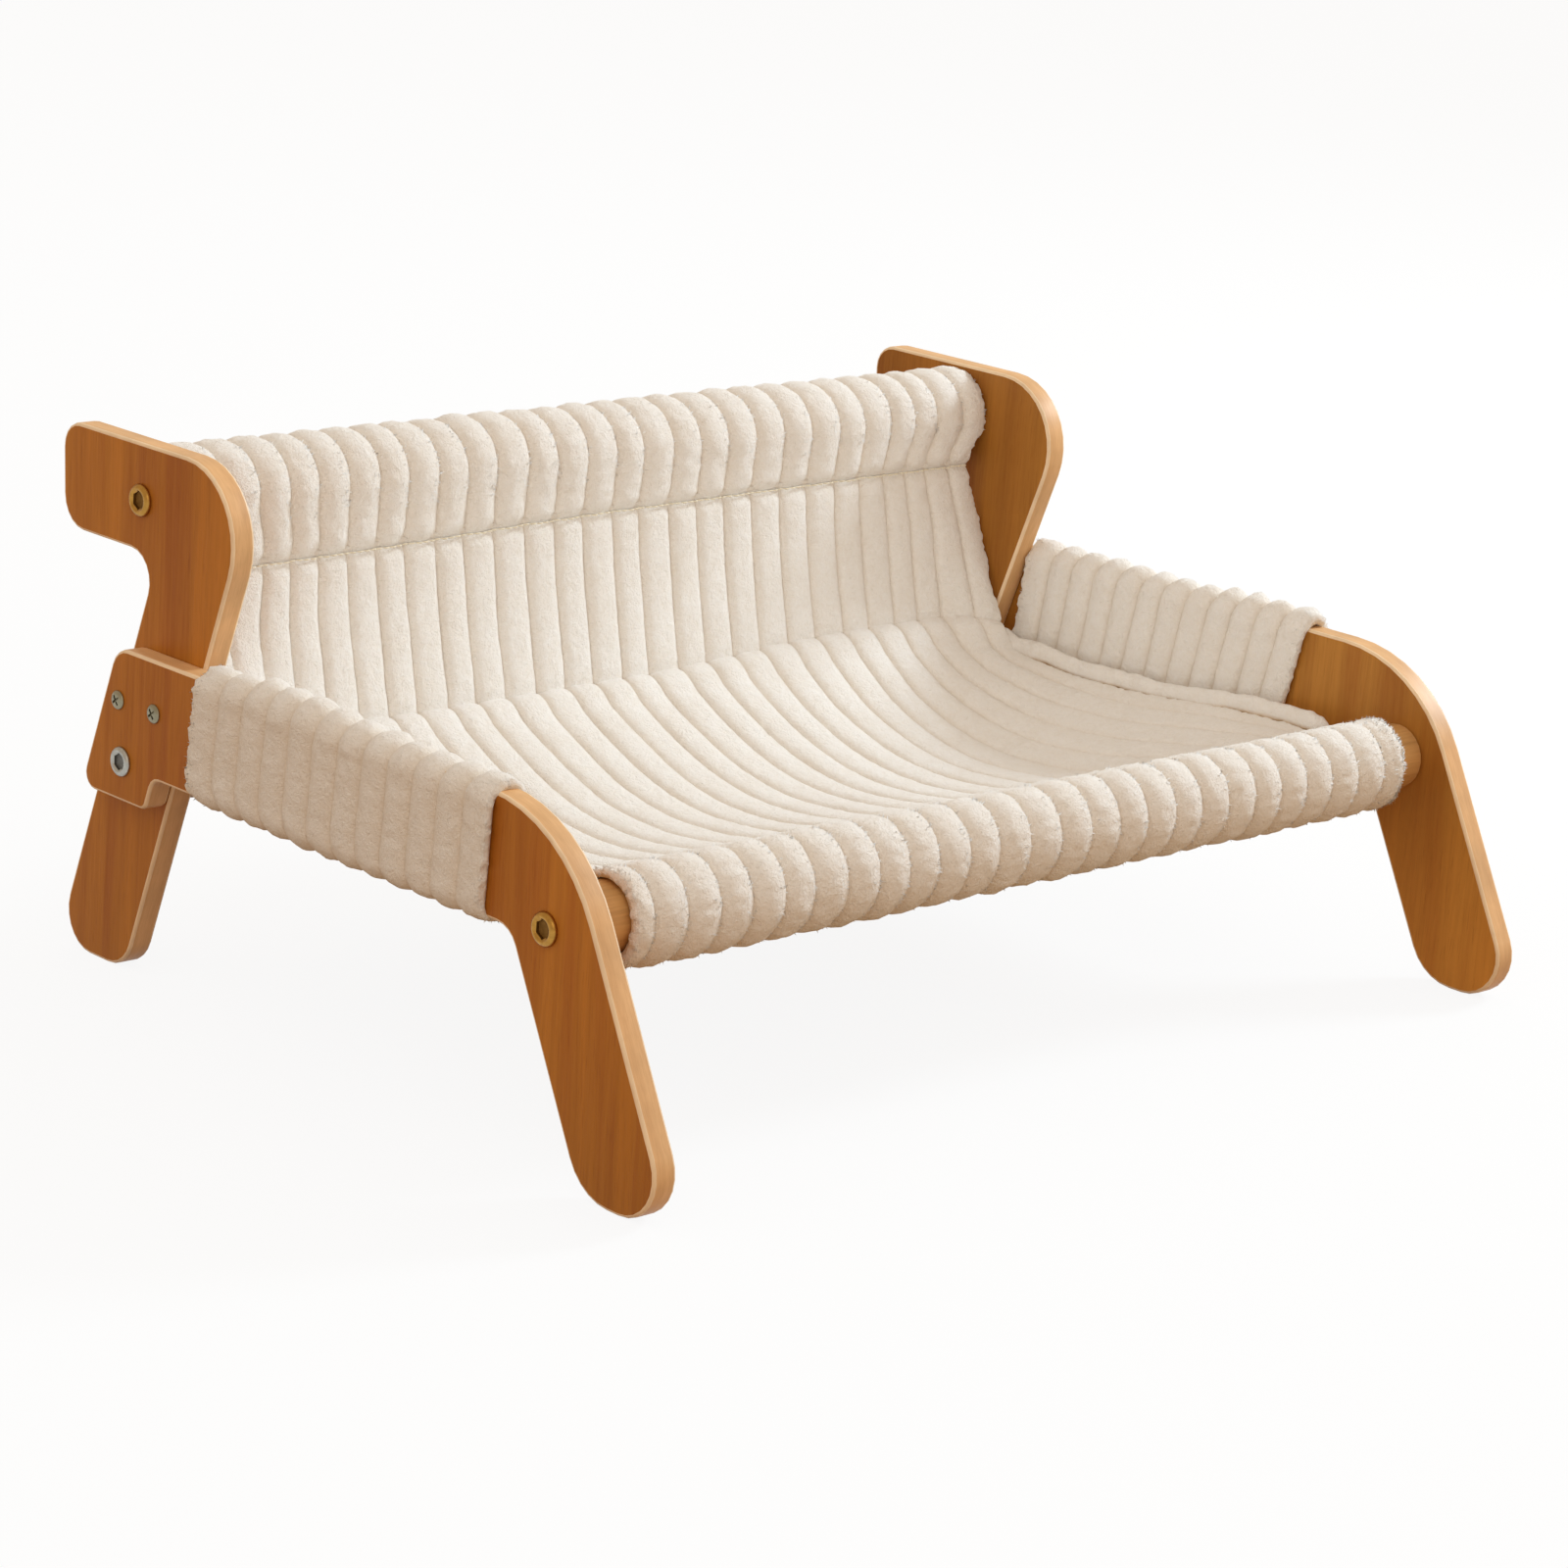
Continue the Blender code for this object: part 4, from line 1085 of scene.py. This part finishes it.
def lathe(name, profile, sides, material):
    """A solid turned about Z: a disc drawn up ring by ring through (radius, height) in mm."""
    deselect()
    (radius, height), *rings = [(wide * MM, high * MM) for wide, high in profile]
    bpy.ops.mesh.primitive_circle_add(vertices=sides, radius=radius, fill_type="NGON",
                                      location=(0, 0, height))
    piece = named(name, material)
    bpy.ops.object.mode_set(mode="EDIT")
    bpy.ops.mesh.select_all(action="SELECT")
    for wide, high in rings:
        bpy.ops.mesh.extrude_region_move(
            TRANSFORM_OT_translate={"value": (0, 0, high - height)})
        grow = wide / radius
        bpy.ops.transform.resize(value=(grow, grow, 1))
        radius, height = wide, high
    bpy.ops.mesh.select_all(action="SELECT")
    bpy.ops.mesh.normals_make_consistent(inside=False)
    bpy.ops.object.mode_set(mode="OBJECT")
    bpy.ops.object.transform_apply(location=True, rotation=True, scale=True)
    return piece


def hexagon(piece, low, high, inner):
    """Press the turned walls of a recess between two heights into six flats."""
    for vertex in piece.data.vertices:
        x, y, z = vertex.co
        reach = math.hypot(x, y)
        if low <= z <= high and 0.4 * MM < reach <= inner:
            turn = math.atan2(y, x) % math.radians(60) - math.radians(30)
            scale = math.cos(math.radians(30)) / math.cos(turn)
            vertex.co.x = x * scale
            vertex.co.y = y * scale


def set_out(piece, node):
    """Turn a piece made along +Z so that it faces out of its side, and put it in place."""
    centre = middle(node)
    side = -1 if centre.x < 0 else 1
    face = Vector((OUTER_FACE * side, centre.y, centre.z))
    if node.startswith("top_bolt"):
        face.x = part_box("upright_right")[1].x * side
    turn = Matrix.Rotation(math.radians(90) * side, 4, "Y")
    only(piece)
    piece.matrix_world = Matrix.Translation(face) @ turn
    bpy.ops.object.transform_apply(location=True, rotation=True, scale=True)


def make_bolt(node, slot, material, radius, height):
    """A round-shouldered bolt with a deep six-sided socket, and its shank."""
    low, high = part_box(node)
    foot = -1000 * ((high.x - low.x) - 3.9 * MM)
    k = radius / (7.7 * MM)
    h = height / (3.9 * MM)
    profile = [(2.9, foot), (3.0, foot + 0.5), (3.0, -0.02)]
    profile += [(wide * k, tall * h) for wide, tall in (
        (7.3, 0.0), (7.6, 0.3), (7.7, 1.0), (7.55, 1.9), (7.15, 2.8), (6.5, 3.5), (5.8, 3.88),
        (5.1, 3.75), (4.65, 3.3), (4.45, 2.7), (4.4, 2.3), (4.35, 0.75), (3.8, 0.5),
        (1.6, 0.35), (0.3, 0.3))]
    piece = lathe("dressed_" + node, profile, 48, finish(material))
    hexagon(piece, 0.3 * MM * h, 2.75 * MM * h, 4.55 * MM * k)
    # Faces inside the socket take a darker metal as painted shade
    piece.data.materials.append(finish(material + "_socket"))
    for polygon in piece.data.polygons:
        x, y, z = polygon.center
        if 0 < z < 2.6 * MM * h and math.hypot(x, y) < 4.45 * MM * k:
            polygon.material_index = 1
    soften(piece, 38)
    set_out(piece, node)
    return hold(piece, slot, node)


def make_screw(node):
    """A small pan-head screw with a cross recess, and its shank."""
    low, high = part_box(node)
    foot = -1000 * ((high.x - low.x) - 2.6 * MM)
    profile = ((0.3, foot), (1.9, foot + 3), (2.0, foot + 3.4), (2.0, -0.02), (4.5, 0.0),
               (4.75, 0.25), (4.75, 0.6), (4.4, 1.1), (3.7, 1.5), (2.8, 1.75), (1.5, 1.85),
               (0.3, 1.87))
    piece = lathe("dressed_" + node, profile, 32, finish("screw"))
    blades = []
    for turn in (35, 125):
        deselect()
        bpy.ops.mesh.primitive_cube_add(size=1, location=(0, 0, 1.7 * MM),
                                        rotation=(0, 0, math.radians(turn)),
                                        scale=(5.6 * MM, 1.15 * MM, 1.9 * MM))
        blades.append(bpy.context.object)
    for blade in blades:
        apply(piece, "BOOLEAN", operation="DIFFERENCE", solver="EXACT", object=blade)
    for blade in blades:
        bpy.data.objects.remove(blade, do_unlink=True)
    soften(piece, 35)
    set_out(piece, node)
    return hold(piece, "zinc_fastener", node)


# Operators, one for each piece or group of like pieces

class LOUNGE_OT_boards(bpy.types.Operator):
    """Dress the side panels and the uprights in veneer with sanded ply edges"""
    bl_idname = "lounge.boards"
    bl_label = "Boards"

    def execute(self, context):
        for node in ("side_panel_left", "side_panel_right", "upright_left", "upright_right"):
            make_board(node)
        return {"FINISHED"}


class LOUNGE_OT_rails(bpy.types.Operator):
    """Dress the three dowels"""
    bl_idname = "lounge.rails"
    bl_label = "Rails"

    def execute(self, context):
        for node in ("front_rail", "back_rail", "top_rail"):
            make_rail(node)
        return {"FINISHED"}


class LOUNGE_OT_bolts(bpy.types.Operator):
    """Turn the brass bolts of the front and top rails and the bright bolts of the back rail"""
    bl_idname = "lounge.bolts"
    bl_label = "Bolts"

    def execute(self, context):
        settings = context.scene.lounge_frame
        for name in SIDES:
            for rail in ("front", "top"):
                make_bolt(f"{rail}_bolt_{name}", "brass_fastener", "brass",
                          settings.head_radius, settings.head_height)
            make_bolt("back_bolt_" + name, "zinc_fastener", "zinc",
                      settings.head_radius * 0.92, settings.head_height * 0.8)
            for rail in ("front", "back", "top"):
                nut = NODES[f"{rail}_barrel_nut_{name}"]
                nut.data.materials.clear()
                nut.data.materials.append(finish("zinc"))
        return {"FINISHED"}


class LOUNGE_OT_screws(bpy.types.Operator):
    """Turn the small cross-head screws that pin the rear plates"""
    bl_idname = "lounge.screws"
    bl_label = "Plate screws"

    def execute(self, context):
        for name in SIDES:
            for place in ("front", "rear"):
                make_screw(f"plate_screw_{place}_{name}")
        return {"FINISHED"}


class LOUNGE_OT_seat(bpy.types.Operator):
    """Sew the seat and the roll round the front rail in one length"""
    bl_idname = "lounge.seat"
    bl_label = "Seat and front roll"

    def execute(self, context):
        piece = hold(make_seat(), "plush", "seat_panel", "front_pocket")
        return {"FINISHED"}


class LOUNGE_OT_backrest(bpy.types.Operator):
    """Sew the backrest, the roll over the top rail and the pocket round the back rail"""
    bl_idname = "lounge.backrest"
    bl_label = "Backrest and top roll"

    def execute(self, context):
        piece = hold(make_top_roll(), "plush", "top_pocket")
        piece = hold(make_backrest(), "plush", "back_panel")
        piece = hold(make_back_pocket(), "plush", "back_pocket")
        return {"FINISHED"}


class LOUNGE_OT_sleeves(bpy.types.Operator):
    """Sew the ribbed sleeves round the arm bars"""
    bl_idname = "lounge.sleeves"
    bl_label = "Arm sleeves"

    def execute(self, context):
        for name, side in SIDES.items():
            piece = hold(make_sleeve(name, side), "plush", "arm_sleeve_" + name)
        return {"FINISHED"}


class LOUNGE_OT_hems(bpy.types.Operator):
    """Roll the hems along both sides of the seat"""
    bl_idname = "lounge.hems"
    bl_label = "Seat hems"

    def execute(self, context):
        for name, side in SIDES.items():
            run = spaced(smooth_line(HEM_RUN), 1.8)
            along = np.linspace(0, 1, len(run))
            x = 273.4 - 0.5 * np.cos(along * 9) - 0.8 * ease((0.06 - along) / 0.06)
            y = run[:, 0] + (11 * ease((run[:, 0] - 235) / 44) if side > 0 else 0)
            path = np.column_stack((side * x * MM, y * MM + RAIL_Y, run[:, 1] * MM + 0.5 * MM))
            tall = (5.7 + 0.5 * side) * MM
            piece = rope("seat_hem_cord_" + name, path, 5.0 * MM, tall, 110 + side, -side)
            hold(piece, "plush", "seat_hem_" + name)
        return {"FINISHED"}


class LOUNGE_OT_seams(bpy.types.Operator):
    """Stitch the seam under the top roll"""
    bl_idname = "lounge.seams"
    bl_label = "Seam threads"

    def execute(self, context):
        line = (SURFACES["top_roll_cover"][0][0] + SURFACES["backrest_cover"][0][0]) / 2
        away = np.tile((0.0, -1.0, 0.0), (len(line), 1))
        line = line + away * 2.3 * MM
        piece = stitches("top_seam_thread", line, away, 4.3 * MM, 4.0 * MM, 0.5 * MM, 5)
        hold(piece, "plush")
        return {"FINISHED"}


class LOUNGE_OT_cut_pile(bpy.types.Operator):
    """Raise the loose pile along the cut ends of the front roll and the sleeves, and over the
    front and top rolls
    """
    bl_idname = "lounge.cut_pile"
    bl_label = "Cut pile"

    def execute(self, context):
        first, last = slice(0, 5), slice(-5, None)
        top, out = SURFACES["front_roll"]
        for name, edge in (("left", first), ("right", last)):
            place, shade = scatter(top[:, edge], out[:, edge], 220, 7)
            tufts("front_roll_end_pile_" + name, place,
                  shade + np.array((0.7 * SIDES[name], 0, 0)), 1.8 * MM, 0.35 * MM, 8)
        step = context.scene.lounge_cover.rib_columns
        for name, key, rows, count in (("front", "front_roll", slice(10, -30), 2600),
                                       ("top", "top_roll_cover", slice(14, -70), 1500)):
            top, out = SURFACES[key]
            picks = np.concatenate([np.arange(k + 6, k + step)
                                    for k in range(0, top.shape[1] - step, step)])
            place, shade = scatter(top[rows][:, picks], out[rows][:, picks], count, 17)
            tufts(name + "_roll_pile", place, shade + np.array((0.5, 0, 0.2)), 1.7 * MM,
                  0.4 * MM, 18)
        for name in SIDES:
            top, out = SURFACES["arm_sleeve_cover_" + name]
            for end, edge, lean in (("front", first, -0.9), ("rear", last, 0.9)):
                place, shade = scatter(top[:, edge], out[:, edge], 130, 9)
                tufts(f"sleeve_{end}_pile_{name}", place,
                      shade * 0.7 + np.array((0, lean, 0)), 1.8 * MM, 0.35 * MM, 12)
        return {"FINISHED"}


class LOUNGE_OT_stage(bpy.types.Operator):
    """Set the floor, the lamps and the camera"""
    bl_idname = "lounge.stage"
    bl_label = "Stage"

    def execute(self, context):
        settings = context.scene.lounge_stage
        deselect()
        bpy.ops.mesh.primitive_plane_add(size=60, location=(0, 0, -0.2 * MM))
        floor = named("studio_floor", floor_finish())
        lamps = (("key_lamp", (2.85, -0.45, 1.75), 0.8, settings.key_power, (0.76, 0.90, 1.0)),
                 ("fill_lamp", (-1.6, -2.2, 1.6), 1.8, settings.fill_power,
                  (1.0, 0.95, 0.89)))
        for name, place, size, power, colour in lamps:
            bpy.ops.object.light_add(type="AREA", location=place)
            lamp = context.object
            lamp.name = name
            lamp.data.name = name
            lamp.data.shape = "DISK"
            lamp.data.size = size
            lamp.data.energy = power
            lamp.data.color = colour
            aim = Vector(MIDDLE_OF_CHAIR) - Vector(place)
            lamp.rotation_euler = aim.to_track_quat("-Z", "Y").to_euler()
        world_light(context.scene, settings.room_light)
        place_camera(context.scene, settings)
        return {"FINISHED"}


def floor_finish():
    """Pale floor that shows white to the camera and keeps the chair's soft shadow."""
    floor = Finish("pale_floor")
    speckle = floor.noise(floor.place(), 30.0, 2.0)
    pale = floor.ramp(speckle, (0.3, (0.86, 0.87, 0.88)), (0.7, (0.87, 0.88, 0.89)))
    glow = floor.add("Emission", Color=(1, 1, 1, 1), Strength=1.0)
    path = floor.add("LightPath")
    seen = floor.math("MAXIMUM", (path, "Is Camera Ray"), (path, "Is Glossy Ray"))
    seen = floor.math("MAXIMUM", seen, (path, "Is Transmission Ray"))
    floor.set(Base_Color=floor.mix(seen, (0.42, 0.25, 0.11), pale), Roughness=0.9)
    both = floor.add("MixShader")
    floor.feed(both, {0: floor.math("MULTIPLY", seen, 0.90), 1: (floor.shader, 0),
                      2: (glow, 0)})
    floor.feed(floor.tree.nodes["Material Output"], {"Surface": (both, 0)})
    return floor.material


def world_light(scene, strength):
    """Even room light, slightly warm, and white where the camera sees it."""
    room = scene.world or bpy.data.worlds.new("room")
    scene.world = room
    room.use_nodes = True
    tree = room.node_tree
    tree.nodes.clear()
    mix = tree.nodes.new("ShaderNodeMixShader")
    for socket, colour, power in ((1, (1.0, 0.86, 0.72, 1), strength), (2, (1, 1, 1, 1), 1.0)):
        light = tree.nodes.new("ShaderNodeBackground")
        light.inputs["Color"].default_value = colour
        light.inputs["Strength"].default_value = power
        tree.links.new(light.outputs[0], mix.inputs[socket])
    path = tree.nodes.new("ShaderNodeLightPath")
    out = tree.nodes.new("ShaderNodeOutputWorld")
    tree.links.new(path.outputs["Is Camera Ray"], mix.inputs[0])
    tree.links.new(mix.outputs[0], out.inputs["Surface"])


def place_camera(scene, settings):
    """Put the camera where it looks over the chair's left front corner."""
    head, dip, roll = settings.heading, settings.dip, settings.roll
    ahead = Vector((math.sin(head) * math.cos(dip), math.cos(head) * math.cos(dip),
                    -math.sin(dip)))
    right = Vector((math.cos(head), -math.sin(head), 0))
    up = right.cross(ahead)
    level = math.cos(roll) * right + math.sin(roll) * up
    upright = math.cos(roll) * up - math.sin(roll) * right
    lens = bpy.data.cameras.new("lounge_camera")
    lens.sensor_width = 36
    lens.lens = settings.focal_length
    lens.clip_end = 100
    camera = linked("lounge_camera", lens)
    turn = Matrix((level, upright, -ahead)).transposed().to_4x4()
    camera.matrix_world = Matrix.Translation(CAMERA_PLACE) @ turn
    scene.camera = camera


ORDER = ("boards", "rails", "bolts", "screws", "seat", "backrest", "sleeves", "hems", "seams",
         "cut_pile", "stage")


class LOUNGE_PT_pieces(bpy.types.Panel):
    """The chair's pieces, in the order in which they are made"""
    bl_idname = "LOUNGE_PT_pieces"
    bl_label = "Cat lounge chair"
    bl_space_type = "VIEW_3D"
    bl_region_type = "UI"
    bl_category = "Lounge"

    def draw(self, context):
        for name in ORDER:
            self.layout.operator("lounge." + name)
        for group in ("lounge_cover", "lounge_frame", "lounge_stage"):
            settings = getattr(context.scene, group)
            box = self.layout.box()
            for key in settings.__annotations__:
                box.prop(settings, key)


GROUPS = {"lounge_cover": CoverSettings, "lounge_frame": FrameSettings,
          "lounge_stage": StageSettings}
CLASSES = (CoverSettings, FrameSettings, StageSettings, LOUNGE_OT_boards, LOUNGE_OT_rails,
           LOUNGE_OT_bolts, LOUNGE_OT_screws, LOUNGE_OT_seat, LOUNGE_OT_backrest,
           LOUNGE_OT_sleeves, LOUNGE_OT_hems, LOUNGE_OT_seams, LOUNGE_OT_cut_pile,
           LOUNGE_OT_stage, LOUNGE_PT_pieces)


def register():
    for made in CLASSES:
        bpy.utils.register_class(made)
    for name, group in GROUPS.items():
        setattr(bpy.types.Scene, name, PointerProperty(type=group))


def unregister():
    for name in GROUPS:
        delattr(bpy.types.Scene, name)
    for made in reversed(CLASSES):
        bpy.utils.unregister_class(made)


def main():
    register()
    bpy.context.scene.view_settings.view_transform = "Standard"
    for name in ORDER:
        getattr(bpy.ops.lounge, name)()
    deselect()


if __name__ == "__main__":
    main()
